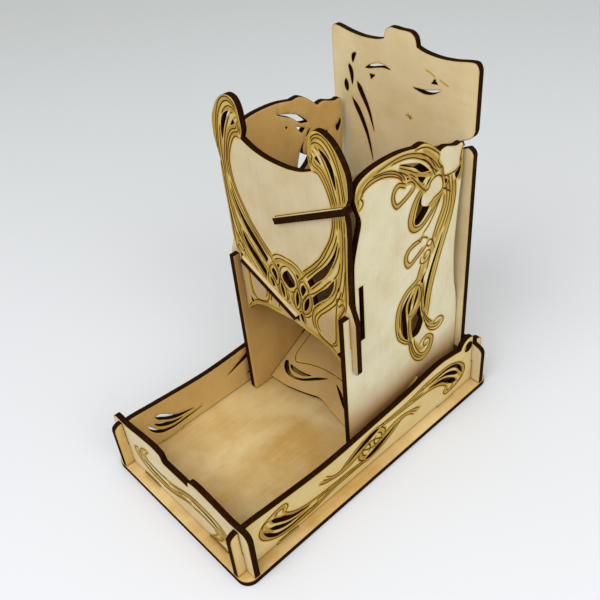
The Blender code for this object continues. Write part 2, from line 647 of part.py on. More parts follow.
def ramp(name, reach, tab_front, tab_back, tab_corner, sign, slope, back_fall, height):
    """Sloping plate between the side panels, with a tab through each upright plate.

    The loop is laid out in plan and carried up to the ramp's own plane. The front tab's left
    corner is rounded.
    """
    front = FRONT_BACK + SEAT_GAP
    back = BOARD_FACE - SEAT_GAP
    tip = TOWER_FRONT - RAMP_TAB_PROUD
    tail = BOARD_FACE + SHEET + RAMP_TAB_PROUD
    corner = arc((tab_front[0] + tab_corner, tip + tab_corner), tab_corner, 180, 270)
    plan = [
        (reach[0], front), (tab_front[0], front), *corner, (tab_front[1], tip),
        (tab_front[1], front), (reach[1], front), (reach[1], back), (tab_back[1], back),
        (tab_back[1], tail), (tab_back[0], tail), (tab_back[0], back), (reach[0], back),
    ]
    along_slope = Vector((math.cos(slope), 0, sign * math.sin(slope)))
    along_back = Vector((0, 1, -math.tan(back_fall)))
    normal = along_slope.cross(along_back).normalized()
    depth = normal.cross(along_slope)
    surface = (sign, slope, back_fall, height)
    origin = Vector((0, FRONT_MIDDLE, ramp_height(0, FRONT_MIDDLE, *surface)))
    axes = Matrix((along_slope, depth, normal)).transposed().to_4x4()
    frame = Matrix.Translation(origin) @ axes
    inverse = frame.inverted()
    lifted = [inverse @ Vector((x, y, ramp_height(x, y, *surface))) for x, y in plan]
    plate(name, [(p.x, p.y) for p in lifted], [], frame, PALE_BIRCH)


UPPER = (1, UPPER_RAMP_SLOPE, UPPER_BACK_FALL, UPPER_RAMP_HEIGHT)
LOWER = (-1, LOWER_RAMP_SLOPE, LOWER_BACK_FALL, LOWER_RAMP_HEIGHT)
UPPER_LEAN = HALF_SHEET * math.sin(UPPER_RAMP_SLOPE)
LOWER_LEAN = HALF_SHEET * math.sin(LOWER_RAMP_SLOPE)
UPPER_FREE_END = UPPER_RAMP_DROP - PANEL_INSIDE
LOWER_FREE_END = PANEL_INSIDE - LOWER_RAMP_DROP
UPPER_HELD_END = PANEL_INSIDE - SEAT_GAP - UPPER_LEAN
LOWER_HELD_END = -(PANEL_INSIDE - SEAT_GAP - LOWER_LEAN)
UPPER_TAB = (UPPER_FREE_END, UPPER_HELD_END - RAMP_TAB_SETBACK)
LOWER_TAB = (LOWER_HELD_END + RAMP_TAB_SETBACK, LOWER_FREE_END - LOWER_TAB_SHOULDER)
UPPER_SLOT_START = UPPER_TAB[0] - UPPER_LEAN - SLOT_CLEARANCE
LOWER_SLOT = (LOWER_TAB[0] - LOWER_LEAN - SLOT_CLEARANCE, LOWER_TAB[1] + LOWER_LEAN + SLOT_CLEARANCE)


def floor_ramp_height(along):
    """Height of the floor ramp's middle plane, whose lower front edge seats on the base."""
    start = WALL_FOOT + HALF_SHEET * math.cos(FLOOR_RAMP_SLOPE)
    run = along - (TOWER_FRONT + FLOOR_RAMP_FOOT - HALF_SHEET * math.sin(FLOOR_RAMP_SLOPE))
    return start + run * math.tan(FLOOR_RAMP_SLOPE)


def side_panel(name, side):
    """Side of the tower, with the finger that holds the front panel and the floor ramp's slot."""
    corner = (SIDE_START, FINGER_TOP)
    height = SIDE_TOP - FINGER_TOP
    tables = (SIDE_FRONT_SHARES, SIDE_TOP_SHARES, SIDE_LOBE_SHARES, SIDE_PETAL_SHARES, SIDE_REAR_SHARES)
    runs = [smooth(place(shares, corner, SIDE_DEPTH, height)) for shares in tables]
    foot = place(SIDE_FOOT_SHARES, (SIDE_START, WALL_FOOT), SIDE_DEPTH, height)
    slot_front = TOWER_FRONT - SLOT_CLEARANCE
    slot_back = FRONT_BACK + SLOT_CLEARANCE
    outline = foot + wall_foot((foot[-1][0], SIDE_START + SIDE_DEPTH), panel_tenons())[1:]
    for run in reversed(runs):
        outline += list(reversed(run))
    outline += [(slot_back, FINGER_TOP), (slot_back, LEG_SEAT), (slot_front, LEG_SEAT)]
    outline += [(slot_front, FINGER_TOP), (SIDE_START, FINGER_TOP)]
    slit = slot_back + FLEX_STRIP
    holes = openings(SIDE_OPENING_SHARES, corner, SIDE_DEPTH, height)
    holes.append(rectangle(slit, LEG_SEAT, slit + FLEX_SLIT_WIDTH, LEG_SEAT + FLEX_SLIT_LENGTH))
    middle = TOWER_FRONT + FLOOR_TAB_PLACE
    lean = Matrix.Rotation(FLOOR_RAMP_SLOPE, 2)
    half = FLOOR_TAB_LENGTH / math.cos(FLOOR_RAMP_SLOPE) / 2 + SLOT_CLEARANCE
    slot = rectangle(-half - FLOOR_SLOT_SPARE, -SLOT_HALF, half, SLOT_HALF)
    centre = Vector((middle, floor_ramp_height(middle)))
    holes.append([tuple(centre + lean @ Vector(point)) for point in slot])
    plate(name, outline, holes, standing_along(side * (PANEL_FACE - HALF_SHEET)), PALE_BIRCH)


def front_leg():
    """Right leg of the front panel, from the slot that straddles a side panel round its outer end."""
    near = PANEL_INSIDE - SLOT_CLEARANCE
    far = PANEL_FACE + SLOT_CLEARANCE
    foot = arc((far + LEG_WIDTH / 2, FRONT_BOTTOM + LEG_WIDTH), LEG_WIDTH / 2, 180, 360)
    slot = [(near, FRONT_BOTTOM + SEAT_GAP), (near, LEG_SEAT + SEAT_GAP), (far, LEG_SEAT + SEAT_GAP)]
    top = FINGER_TOP - LEG_WIDTH
    return slot + foot + [(far + LEG_WIDTH, top), (far + LEG_WIDTH * 3 / 4, FINGER_TOP)]


def above_lower_slope(shares):
    """Points on the front panel whose heights start at the lower ramp's slope."""
    slope = math.tan(LOWER_RAMP_SLOPE)
    level = BASE_TOP + LOWER_RAMP_HEIGHT
    return [(u * FRONT_WIDTH, level + u * FRONT_WIDTH * slope + v * RAMP_SPACING) for u, v in shares]


def field_openings(table):
    """Loops of a table of openings between the ramps."""
    return [opening([above_lower_slope(run) for run in runs]) for runs in table]


def front_leaves(horn_foot):
    """Cut-outs of the front panel: most come in pairs, one to each side."""
    horn = (0, horn_foot), FRONT_WIDTH, FRONT_TOP - horn_foot
    pairs = blades(FRONT_HORN_BLADE_SHARES, *horn) + openings(FRONT_HORN_OPENING_SHARES, *horn)
    pairs += field_openings(FRONT_PAIR_OPENING_SHARES)
    pairs += openings(FRONT_LEG_OPENING_SHARES, (0, FRONT_BOTTOM), FRONT_WIDTH, FRONT_DROP)
    right = field_openings(FRONT_RIGHT_OPENING_SHARES)
    left = field_openings(FRONT_LEFT_OPENING_SHARES)
    middle = (0, BASE_TOP + LOWER_RAMP_HEIGHT)
    oval = openings(FRONT_OVAL_OPENING_SHARES, middle, FRONT_WIDTH, RAMP_SPACING)
    return pairs + right + [mirrored(leaf) for leaf in pairs + left] + oval


def peaked_slot():
    """Front panel's slot for the lower ramp, whose upper edge rises to a peak near its right end."""
    low_left, low_right, high_right, high_left = ramp_slot(*LOWER_SLOT, FRONT_MIDDLE, *LOWER)
    peak = []
    for along, rise in SLOT_PEAK_SHARES:
        across, height = (start + along * (end - start) for start, end in zip(high_right, high_left))
        peak.append((across, height + rise * FRONT_DROP))
    return [low_left, low_right, high_right, *peak, high_left]


def front_panel():
    """Front of the tower: two horns over a bowed mouth, and legs that straddle the side panels."""
    arch = smooth(place(FRONT_ARCH_SHARES, (0, FRONT_BOTTOM), PANEL_INSIDE - SLOT_CLEARANCE, FRONT_DROP))
    edge = FRONT_LIP_SHARES[-1][0] * FRONT_WIDTH
    low_left, low_right, high_right, high_left = ramp_slot(UPPER_SLOT_START, edge, FRONT_MIDDLE, *UPPER)
    flank_height = low_right[1] - FINGER_TOP
    flank, lip = (
        smooth(place(shares, (0, FINGER_TOP), FRONT_WIDTH, flank_height))
        for shares in (FRONT_FLANK_SHARES, FRONT_LIP_SHARES)
    )
    horn_foot = ramp_slot(edge, FRONT_HORN_SHARES[1][0] * FRONT_WIDTH, FRONT_MIDDLE, *UPPER)[2][1]
    horn, mouth = (
        smooth(place(shares, (0, horn_foot), FRONT_WIDTH, FRONT_TOP - horn_foot))
        for shares in (FRONT_HORN_SHARES, FRONT_MOUTH_SHARES)
    )
    below = arch + front_leg() + flank + lip
    above = horn + mouth
    outline = below + [low_right, low_left, high_left, high_right] + above + mirrored(below + above)
    holes = front_leaves(horn_foot) + [peaked_slot()]
    plate("front_panel", outline, holes, standing_across(FRONT_MIDDLE), PALE_BIRCH)


def back_board():
    """Tall board behind the tower, hung by its ears; its top tab lies in the front wall as a lid."""
    corner = (0, BOARD_FOOT)
    half = BOARD_WIDTH / 2
    ear = LONG_WALL_FACE - SEAT_GAP
    top, tab = (
        smooth(place(shares, corner, BOARD_WIDTH, BOARD_HEIGHT))
        for shares in (BOARD_TOP_SHARES, BOARD_TAB_SHARES)
    )
    start = half - NOTCH_LIP_WIDTH
    low_left, low_right, high_right, high_left = ramp_slot(UPPER_SLOT_START, start, BOARD_MIDDLE, *UPPER)
    upper_lip = smooth(place(NOTCH_UPPER_LIP_SHARES, high_right, NOTCH_LIP_WIDTH, NOTCH_LIP_HEIGHT))
    lower_lip = smooth(place(NOTCH_LOWER_LIP_SHARES, low_right, NOTCH_LIP_WIDTH, NOTCH_LIP_HEIGHT))
    ear_top = BOARD_FOOT + EAR_HEIGHT
    feet = [(0, BOARD_FOOT), (ear, BOARD_FOOT), (ear, ear_top), (half, ear_top)]
    crown = list(reversed(top)) + tab
    outline = feet + lower_lip + [low_right, low_left, high_left] + upper_lip + crown + mirrored(feet + crown)
    holes = blades(BOARD_BLADE_SHARES, corner, BOARD_WIDTH, BOARD_HEIGHT)
    holes += openings(BOARD_OPENING_SHARES, corner, BOARD_WIDTH, BOARD_HEIGHT)
    holes.append(ramp_slot(*LOWER_SLOT, BOARD_MIDDLE, *LOWER))
    plate("back_board", outline, holes, standing_across(BOARD_MIDDLE), PALE_BIRCH)


def ramps():
    """The upper ramp falls to the left and the lower ramp to the right."""
    front_edge = FRONT_FLANK_SHARES[-1][0] * FRONT_WIDTH
    upper = (UPPER_FREE_END, UPPER_HELD_END)
    lower = (LOWER_HELD_END, LOWER_FREE_END)
    ramp("upper_ramp", upper, (UPPER_FREE_END, front_edge), UPPER_TAB, 0, *UPPER)
    ramp("lower_ramp", lower, LOWER_TAB, LOWER_TAB, RAMP_TAB_CORNER, *LOWER)


def floor_ramp():
    """Slope that sends the dice forward into the tray, held by a tab in each side panel."""
    lean = HALF_SHEET * math.sin(FLOOR_RAMP_SLOPE)
    start = TOWER_FRONT + FLOOR_RAMP_FOOT - lean
    back = BOARD_FACE - SEAT_GAP - lean
    half = PANEL_INSIDE - SEAT_GAP
    wing = PANEL_FACE + FLOOR_TAB_PROUD
    depth = (back - start) / math.cos(FLOOR_RAMP_SLOPE)
    middle = (TOWER_FRONT + FLOOR_TAB_PLACE - start) / math.cos(FLOOR_RAMP_SLOPE)
    reach = FLOOR_TAB_LENGTH / math.cos(FLOOR_RAMP_SLOPE) / 2
    corner = (0, 0)
    edge = smooth(place(FLOOR_EDGE_SHARES, corner, 2 * half, depth))
    tab = [(half, middle - reach), (wing, middle - reach), (wing, middle + reach), (half, middle + reach)]
    outline = edge + tab + [(half, depth), (-half, depth)] + mirrored(tab)
    leaves = openings(FLOOR_OPENING_SHARES, corner, 2 * half, depth)
    holes = leaves + [mirrored(leaf) for leaf in leaves]
    origin = Matrix.Translation((0, start, floor_ramp_height(start)))
    plate("floor_ramp", outline, holes, origin @ Matrix.Rotation(FLOOR_RAMP_SLOPE, 4, "X"), WARM_BIRCH)


def main():
    for existing in list(bpy.data.objects):
        bpy.data.objects.remove(existing, do_unlink=True)
    base_plate()
    long_wall("left_wall", -1)
    long_wall("right_wall", 1)
    end_wall("front_wall", -1, FRONT_WALL_HEIGHT, front_wall_top())
    end_wall("back_wall", 1, BACK_WALL_HEIGHT, back_wall_top())
    side_panel("left_side_panel", -1)
    side_panel("right_side_panel", 1)
    front_panel()
    back_board()
    ramps()
    floor_ramp()


main()
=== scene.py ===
"""Looks of a laser-cut birch dice tower with its walled tray.

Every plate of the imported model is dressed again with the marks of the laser: its rim is read
from the model, refined to a smooth path, and a worn-edge profile is carried along it. The faces
between are filled with a net that is fine beside cuts and engraved lines, and carries how
scorched the veneer is there. The engraved lines are thin burnt ribbons that lie on the faces.

Shapes are worked out in millimetres on each plate's own plane and put into metres at the end.
"""

import json
import logging
import math
from dataclasses import dataclass, field
from enum import Enum

import bpy
import numpy as np
from mathutils import Matrix, Vector
from mathutils.geometry import delaunay_2d_cdt

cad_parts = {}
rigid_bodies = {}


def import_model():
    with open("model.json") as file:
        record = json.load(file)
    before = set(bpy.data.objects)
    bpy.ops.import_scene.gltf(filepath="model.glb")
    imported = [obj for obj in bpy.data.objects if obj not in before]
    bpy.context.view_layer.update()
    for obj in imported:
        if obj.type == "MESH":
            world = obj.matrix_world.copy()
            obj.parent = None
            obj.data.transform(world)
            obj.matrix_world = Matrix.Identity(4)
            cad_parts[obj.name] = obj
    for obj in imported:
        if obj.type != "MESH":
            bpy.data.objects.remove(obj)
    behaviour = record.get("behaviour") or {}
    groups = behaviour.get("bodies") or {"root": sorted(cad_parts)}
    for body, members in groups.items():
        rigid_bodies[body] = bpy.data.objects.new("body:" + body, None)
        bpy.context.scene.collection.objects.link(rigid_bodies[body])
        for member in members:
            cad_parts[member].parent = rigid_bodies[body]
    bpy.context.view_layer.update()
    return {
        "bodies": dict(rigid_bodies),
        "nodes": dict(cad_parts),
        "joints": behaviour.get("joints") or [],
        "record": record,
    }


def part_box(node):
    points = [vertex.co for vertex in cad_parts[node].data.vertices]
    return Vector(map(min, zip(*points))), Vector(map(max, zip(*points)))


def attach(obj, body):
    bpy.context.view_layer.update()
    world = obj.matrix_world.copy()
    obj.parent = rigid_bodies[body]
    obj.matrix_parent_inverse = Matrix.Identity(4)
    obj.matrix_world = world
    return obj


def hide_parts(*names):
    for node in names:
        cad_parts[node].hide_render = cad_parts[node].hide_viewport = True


LOG = logging.getLogger("dice_tower")
MM = 0.001  # metres
SHEET = 3.0  # thickness of the plywood in mm

Colour = tuple[float, float, float, float]
Space = tuple[float, float, float]
Point = tuple[float, float]
Path = tuple[Point, ...]
Paths = tuple[Path, ...]

TO_RIGHT: Space = (1.0, 0.0, 0.0)
TO_FRONT: Space = (0.0, -1.0, 0.0)
TO_BACK: Space = (0.0, 1.0, 0.0)
UPWARD: Space = (0.0, 0.0, 1.0)


def paint(red: int, green: int, blue: int) -> Colour:
    """Linear colour of a paint given as screen values from 0 to 255."""
    shares = np.array([red, green, blue]) / 255
    linear = np.where(shares <= 0.04045, shares / 12.92, ((shares + 0.055) / 1.055) ** 2.4)
    return (*(float(value) for value in linear), 1.0)


# Shader maths


class Value:
    """A shader socket that holds a number; sums and products on it add Math nodes."""

    def __init__(self, shader: "Shader", socket: bpy.types.NodeSocket) -> None:
        """Keeps the socket and the shader it belongs to."""
        self.shader = shader
        self.socket = socket

    def __add__(self, other: "Value | float") -> "Value":
        """This value plus the other."""
        return self.shader.math("ADD", self, other)

    def __radd__(self, other: float) -> "Value":
        """A number plus this value."""
        return self.shader.math("ADD", self, other)

    def __sub__(self, other: "Value | float") -> "Value":
        """This value less the other."""
        return self.shader.math("SUBTRACT", self, other)

    def __rsub__(self, other: float) -> "Value":
        """A number less this value."""
        return self.shader.math("SUBTRACT", other, self)

    def __mul__(self, other: "Value | float") -> "Value":
        """This value times the other."""
        return self.shader.math("MULTIPLY", self, other)

    def __rmul__(self, other: float) -> "Value":
        """A number times this value."""
        return self.shader.math("MULTIPLY", self, other)

    def between(self, low: float, high: float) -> "Value":
        """A smooth step from 0 at the low value to 1 at the high one."""
        sockets = {"Value": self, "From Min": low, "From Max": high}
        settings = {"interpolation_type": "SMOOTHSTEP"}
        return self.shader.node("ShaderNodeMapRange", settings, sockets, "Result")


class Shader:
    """A material's node tree, built node by node."""

    def __init__(self, name: str) -> None:
        """Starts a material that holds a Principled shader alone.

        Args:
            name: Name of the material.
        """
        self.material = bpy.data.materials.new(name)
        self.material.use_nodes = True
        self.tree = self.material.node_tree
        self.surface = self.tree.nodes["Principled BSDF"]

    def node(
        self,
        kind: str,
        settings: dict[str, object] | None = None,
        sockets: dict[str | int, object] | None = None,
        output: str | int = 0,
    ) -> Value:
        """Adds a node.

        Args:
            kind: The node's type.
            settings: Its settings by name, set before its sockets.
            sockets: Values or links by the socket's name or place.
            output: Name or place of the socket that is handed back.

        Returns:
            The chosen output.
        """
        made = self.tree.nodes.new(kind)
        for name, value in (settings or {}).items():
            setattr(made, name, value)
        for key, value in (sockets or {}).items():
            self.feed(made.inputs[key], value)
        return Value(self, made.outputs[output])

    def feed(self, socket: bpy.types.NodeSocket, value: object) -> None:
        """Links a value to a socket, or sets the socket to a plain number or colour."""
        if isinstance(value, Value):
            self.tree.links.new(value.socket, socket)
        else:
            socket.default_value = value

    def math(self, operation: str, *values: "Value | float") -> Value:
        """Adds a Math node on the values, in order."""
        return self.node("ShaderNodeMath", {"operation": operation}, dict(enumerate(values)))

    def mix(self, first: object, second: object, share: "Value | float") -> Value:
        """Colour between two colours by the second's share, on the Mix node's colour sockets."""
        return self.node("ShaderNodeMix", {"data_type": "RGBA"}, {0: share, 6: first, 7: second}, 2)

    def noise(self, place: Value, scale: float, detail: float, roughness: float = 0.5) -> Value:
        """Soft noise at a place, from 0 to 1."""
        sockets = {"Vector": place, "Scale": scale, "Detail": detail, "Roughness": roughness}
        return self.node("ShaderNodeTexNoise", None, sockets, "Fac")

    def place(self) -> Value:
        """Place on the object in metres."""
        return self.node("ShaderNodeTexCoord", None, None, "Object")

    def stretched(self, scale: Space) -> Value:
        """Places on the object in metres, each axis scaled."""
        return self.node("ShaderNodeMapping", None, {"Vector": self.place(), "Scale": scale})

    def axis(self, place: Value, axis: int) -> Value:
        """One coordinate of a place."""
        return self.node("ShaderNodeSeparateXYZ", None, {0: place}, axis)

    def mark(self, name: str) -> Value:
        """The number that the mesh carries under a name."""
        return self.node("ShaderNodeAttribute", {"attribute_name": name}, None, "Fac")

    def finish(
        self,
        colour: object,
        roughness: "Value | float",
        relief: Value | None = None,
        depth: float = 0.0,
        gloss: float = 0.3,
    ) -> bpy.types.Material:
        """Joins colour, roughness and relief to the surface.

        Args:
            colour: Colour or its link.
            roughness: Roughness or its link.
            relief: Height from 0 to 1, or None for a smooth surface.
            depth: How far a height of 1 stands out, in metres.
            gloss: Strength of the mirror-like part of its shine.

        Returns:
            The finished material.
        """
        self.feed(self.surface.inputs["Base Color"], colour)
        self.feed(self.surface.inputs["Roughness"], roughness)
        self.surface.inputs["Specular IOR Level"].default_value = gloss
        if relief is not None:
            sockets = {"Height": relief, "Distance": depth, "Strength": 1.0}
            self.feed(self.surface.inputs["Normal"], self.node("ShaderNodeBump", None, sockets))
        return self.material


# Finishes

EVEN: Space = (1.0, 1.0, 1.0)  # scale that stretches nothing


class Grain(Enum):
    """Which way the veneer's grain runs on the object."""

    ACROSS = 0
    BACK = 1
    UP = 2

    def scale(self, across: float, along: float) -> Space:
        """Scale of each axis where a pattern repeats often across the grain and seldom along it."""
        steps = [across] * 3
        steps[self.value] = along
        return (steps[0], steps[1], steps[2])


@dataclass(frozen=True)
class BirchFace:
    """Peeled birch veneer, scorched where its mesh says so.

    A pattern's scale is how often it repeats in a metre, and a pair is across and along the
    grain. Shares say how much of a colour or pattern shows at most. Spans are in metres.
    """

    name: str
    grain: Grain
    pale: Colour = paint(214, 208, 176)
    warm: Colour = paint(198, 182, 139)
    fleck: Colour = paint(150, 112, 60)
    # deep is the colour that painted shade turns a face towards
    deep: Colour = paint(104, 68, 26)
    toast: Colour = paint(190, 157, 52)
    char: Colour = paint(122, 84, 14)
    cloud_scale: float = 28.0
    blotch_scale: float = 80.0
    fibre_scale: Point = (900.0, 26.0)
    band_scale: Point = (120.0, 7.0)
    dash_scale: Point = (2300.0, 240.0)
    mottle: float = 0.5
    blotch_share: float = 0.35
    band_share: float = 0.35
    fibre_share: float = 0.5
    paleness: float = 0.37
    fleck_share: float = 0.30
    toast_share: float = 0.92
    char_share: float = 0.7
    relief: float = 0.00005
    # Painted shade: how much at most, the axis it grows along, the span over which it grows, and the height
    # span under which it is taken off again
    painted_shade: float = 0.0
    painted_shade_axis: int = 2
    painted_shade_span: Point = (0.140, 0.095)
    lit_span: Point = (0.035, 0.075)

    def make(self) -> bpy.types.Material:
        """Builds the veneer: mottling and blotches, grain, short flecks, then the scorch over them.

        Where a face carries painted shade, it grows browner along an axis of the object, standing for the
        lesser light deep in the tower, and the painted shade is taken off again low down, where the tower
        is open.
        """
        shader = Shader(self.name)
        plain = shader.stretched(EVEN)
        cloud = shader.noise(plain, self.cloud_scale, 3.0)
        fibre = shader.noise(shader.stretched(self.grain.scale(*self.fibre_scale)), 1.0, 4.0, 0.62)
        band = shader.noise(shader.stretched(self.grain.scale(*self.band_scale)), 1.0, 3.0)
        blotch = shader.noise(plain, self.blotch_scale, 4.0).between(0.35, 0.7)
        dash = shader.noise(shader.stretched(self.grain.scale(*self.dash_scale)), 1.0, 1.0)
        dash = dash.between(0.70, 0.78)
        tone = cloud.between(0.3, 0.75) * self.mottle + blotch * self.blotch_share
        tone = tone + band * self.band_share + fibre * self.fibre_share - self.paleness
        colour = shader.mix(self.pale, self.warm, tone)
        colour = shader.mix(colour, self.fleck, dash * self.fleck_share)
        # Painted shade: browner further along the axis, taken off again low down
        if self.painted_shade:
            painted_shade_along = shader.axis(plain, self.painted_shade_axis).between(*self.painted_shade_span)
            higher = shader.axis(plain, 2).between(*self.lit_span)
            colour = shader.mix(colour, self.deep, painted_shade_along * higher * self.painted_shade)
        scorch = shader.mark("scorch") * (0.80 + cloud * 0.4)
        colour = shader.mix(colour, self.toast, scorch.between(0.02, 0.85) * self.toast_share)
        colour = shader.mix(colour, self.char, scorch.between(0.72, 1.15) * self.char_share)
        rough = 0.50 + fibre * 0.18 + scorch * 0.08
        return shader.finish(colour, rough, fibre - dash * 0.5, self.relief)


@dataclass(frozen=True)
class CharredEdge:
    """The cut edge of the sheet, burnt dark by the laser, with its fine streaks."""

    name: str = "charred_edge"
    soot: Colour = paint(34, 16, 6)
    brown: Colour = paint(74, 42, 12)
    streak_scale: float = 700.0
    patch_scale: float = 60.0
    relief: float = 0.00006
    gloss: float = 0.02

    def make(self) -> bpy.types.Material:
        """Builds the burnt edge."""
        shader = Shader(self.name)
        plain = shader.stretched(EVEN)
        streak = shader.noise(plain, self.streak_scale, 2.0, 0.6)
        patch = shader.noise(plain, self.patch_scale, 2.0)
        colour = shader.mix(self.soot, self.brown, streak.between(0.42, 0.85) * patch.between(0.3, 0.8))
        return shader.finish(colour, 0.75 + streak * 0.2, streak, self.relief, self.gloss)


@dataclass(frozen=True)
class BurntLine:
    """A line that the laser has engraved at low power."""

    name: str = "burnt_line"
    deep: Colour = paint(50, 21, 4)
    light: Colour = paint(88, 48, 13)
    patch_scale: float = 240.0
    roughness: float = 0.8
    gloss: float = 0.1

    def make(self) -> bpy.types.Material:
        """Builds the burnt line."""
        shader = Shader(self.name)
        patch = shader.noise(shader.stretched(EVEN), self.patch_scale, 2.0)
        colour = shader.mix(self.deep, self.light, patch.between(0.3, 0.75))
        return shader.finish(colour, self.roughness, gloss=self.gloss)


FINISHED: dict[str, bpy.types.Material] = {}  # materials made so far, by name


def finish(kind: BirchFace | CharredEdge | BurntLine) -> bpy.types.Material:
    """The material of a finish, made the first time it is asked for."""
    if kind.name not in FINISHED:
        FINISHED[kind.name] = kind.make()
    return FINISHED[kind.name]


# Veneers of the plates

# Outer faces of the side panels; their painted shade and painted warm bounce light brown them low down,
# from about 50 mm to 22 mm, beside the tray's walls
UPRIGHT_PALE = BirchFace(
    "birch_upright", Grain.UP,
    deep=paint(172, 114, 28), painted_shade=0.7, painted_shade_span=(0.050, 0.022), lit_span=(0.0, 0.001),
)
# Inner faces of the tower: a warmer, darker copy of the upright veneer, which is painted shade and warm
# bounce light, with more painted shade that browns it below about 140 mm and is taken off again below about
# 75 mm, where the tower is open
UPRIGHT_INSIDE_SHADED = BirchFace(
    "birch_inside_shaded", Grain.UP, pale=paint(212, 176, 110), warm=paint(190, 148, 80), painted_shade=0.6
)
# Front panel's face; its painted shade browns the lower field, from about 102 mm down to 86 mm, which gets
# less light above the arch
FRONT_PALE = BirchFace(
    "birch_front", Grain.UP, pale=paint(202, 188, 152), warm=paint(187, 164, 119),
    deep=paint(150, 100, 24), painted_shade=0.4, painted_shade_span=(0.102, 0.086), lit_span=(0.0, 0.001),
)
BOARD_PALE = BirchFace("birch_board", Grain.ACROSS, pale=paint(220, 203, 160), warm=paint(206, 181, 130))
WALL_PALE = BirchFace("birch_wall", Grain.BACK, pale=paint(212, 193, 138), warm=paint(197, 168, 102))
WALL_INSIDE = BirchFace(
    "birch_wall_inside", Grain.BACK, pale=paint(212, 180, 114), warm=paint(196, 158, 92)
)
END_PALE = BirchFace("birch_end", Grain.ACROSS, pale=paint(212, 198, 164), warm=paint(198, 176, 128))
FLOOR_WARM = BirchFace(
    "birch_floor", Grain.BACK, pale=paint(224, 199, 143), warm=paint(196, 157, 88), mottle=0.8
)
SLOPE_WARM = BirchFace("birch_slope", Grain.BACK, pale=paint(190, 157, 98), warm=paint(174, 135, 76))
# Top faces of the upper and lower ramps; their painted shade browns the part behind the front panel, inside
# the tower, over the first 8 mm back from y = 0
RAMP_PALE = BirchFace(
    "birch_ramp", Grain.BACK, pale=paint(216, 198, 152), warm=paint(202, 176, 118),
    painted_shade=0.8, painted_shade_axis=1, painted_shade_span=(0.0, 0.008), lit_span=(0.0, 0.001),
)
# Undersides of the ramps: a dark copy of the ramp veneer, which is painted shade, as little light reaches
# under them
RAMP_UNDER_SHADED = BirchFace("birch_ramp_under_shaded", Grain.BACK, pale=paint(128, 88, 44), warm=paint(108, 72, 32))


# Paths on a plate's plane


def through(knots: Path | np.ndarray, step: float) -> np.ndarray:
    """Smooth open path through knots.

    Each stretch is the cubic whose end slopes are half the way between the knots on either side.

    Args:
        knots: Points in mm.
        step: Longest distance between the path's points.

    Returns:
        Points of the path.
    """
    points = np.asarray(knots, float)
    padded = np.concatenate([points[:1], points, points[-1:]])
    leaving = (padded[2:] - padded[:-2]) / 2
    return hermite(points[:-1], points[1:], leaving[:-1], leaving[1:], step, False)


def hermite(
    start: np.ndarray, end: np.ndarray, leaving: np.ndarray, arriving: np.ndarray, step: float, closed: bool
) -> np.ndarray:
    """Points along cubic stretches, each between two points with a slope at either end.

    With t from 0 to 1 along a stretch, the point is start (2t^3 - 3t^2 + 1) + leaving
    (t^3 - 2t^2 + t) + end (3t^2 - 2t^3) + arriving (t^3 - t^2).

    Args:
        start: First point of each stretch.
        end: Last point of each stretch.
        leaving: Slope at the start, over the whole stretch.
        arriving: Slope at the end, over the whole stretch.
        step: Longest distance between points.
        closed: Whether the last stretch ends where the first begins.

    Returns:
        Points of all the stretches in order.
    """
    counts = np.maximum(np.ceil(np.linalg.norm(end - start, axis=1) / step).astype(int), 1)
    which = np.repeat(np.arange(len(counts)), counts)
    first = np.repeat(np.cumsum(counts) - counts, counts)
    t = ((np.arange(counts.sum()) - first) / counts[which])[:, None]
    square, cube = t**2, t**3
    points = start[which] * (2 * cube - 3 * square + 1) + end[which] * (3 * square - 2 * cube)
    points += leaving[which] * (cube - 2 * square + t) + arriving[which] * (cube - square)
    return points if closed else np.concatenate([points, end[-1:]])


def refined(loop: np.ndarray, step: float, corner: float = 40.0, straight: float = 3.0) -> np.ndarray:
    """Finer points through a closed rim.

    A stretch stays straight where it is much longer than the next one, corners stay sharp, and
    elsewhere the slope at a point leans to its shorter neighbour, as on a circle.

    Args:
        loop: Points of the rim in order.
        step: Longest distance between the finer points.
        corner: Turn in degrees past which a point is a corner.
        straight: How many times longer than its neighbour a straight stretch is.

    Returns:
        The finer rim.
    """
    run = np.roll(loop, -1, axis=0) - loop
    length = np.linalg.norm(run, axis=1)[:, None]
    ahead = run / length
    behind = np.roll(ahead, 1, axis=0)
    before = np.roll(length, 1, axis=0)
    sharp = (ahead * behind).sum(axis=1)[:, None] < math.cos(math.radians(corner))
    slope = behind * length + ahead * before
    slope /= np.linalg.norm(slope, axis=1)[:, None] + 1e-12
    slope = np.where(length > straight * before, ahead, slope)
    slope = np.where(before > straight * length, behind, slope)
    leaving = np.where(sharp, ahead, slope) * length
    arriving = np.roll(np.where(sharp, behind, slope), -1, axis=0) * length
    return hermite(loop, np.roll(loop, -1, axis=0), leaving, arriving, step, True)


def outward(loop: np.ndarray, least: float = 0.2) -> np.ndarray:
    """Unit directions away from the material at the points of a rim that has it on the left.

    Args:
        loop: Points of the rim in order.
        least: Sum of the two sides' directions below which a point is a spike and gets less.

    Returns:
        A direction for each point.
    """
    run = np.roll(loop, -1, axis=0) - loop
    run /= np.linalg.norm(run, axis=1)[:, None]
    side = np.stack([run[:, 1], -run[:, 0]], axis=1)
    side = side + np.roll(side, 1, axis=0)
    return side / np.maximum(np.linalg.norm(side, axis=1)[:, None], least)


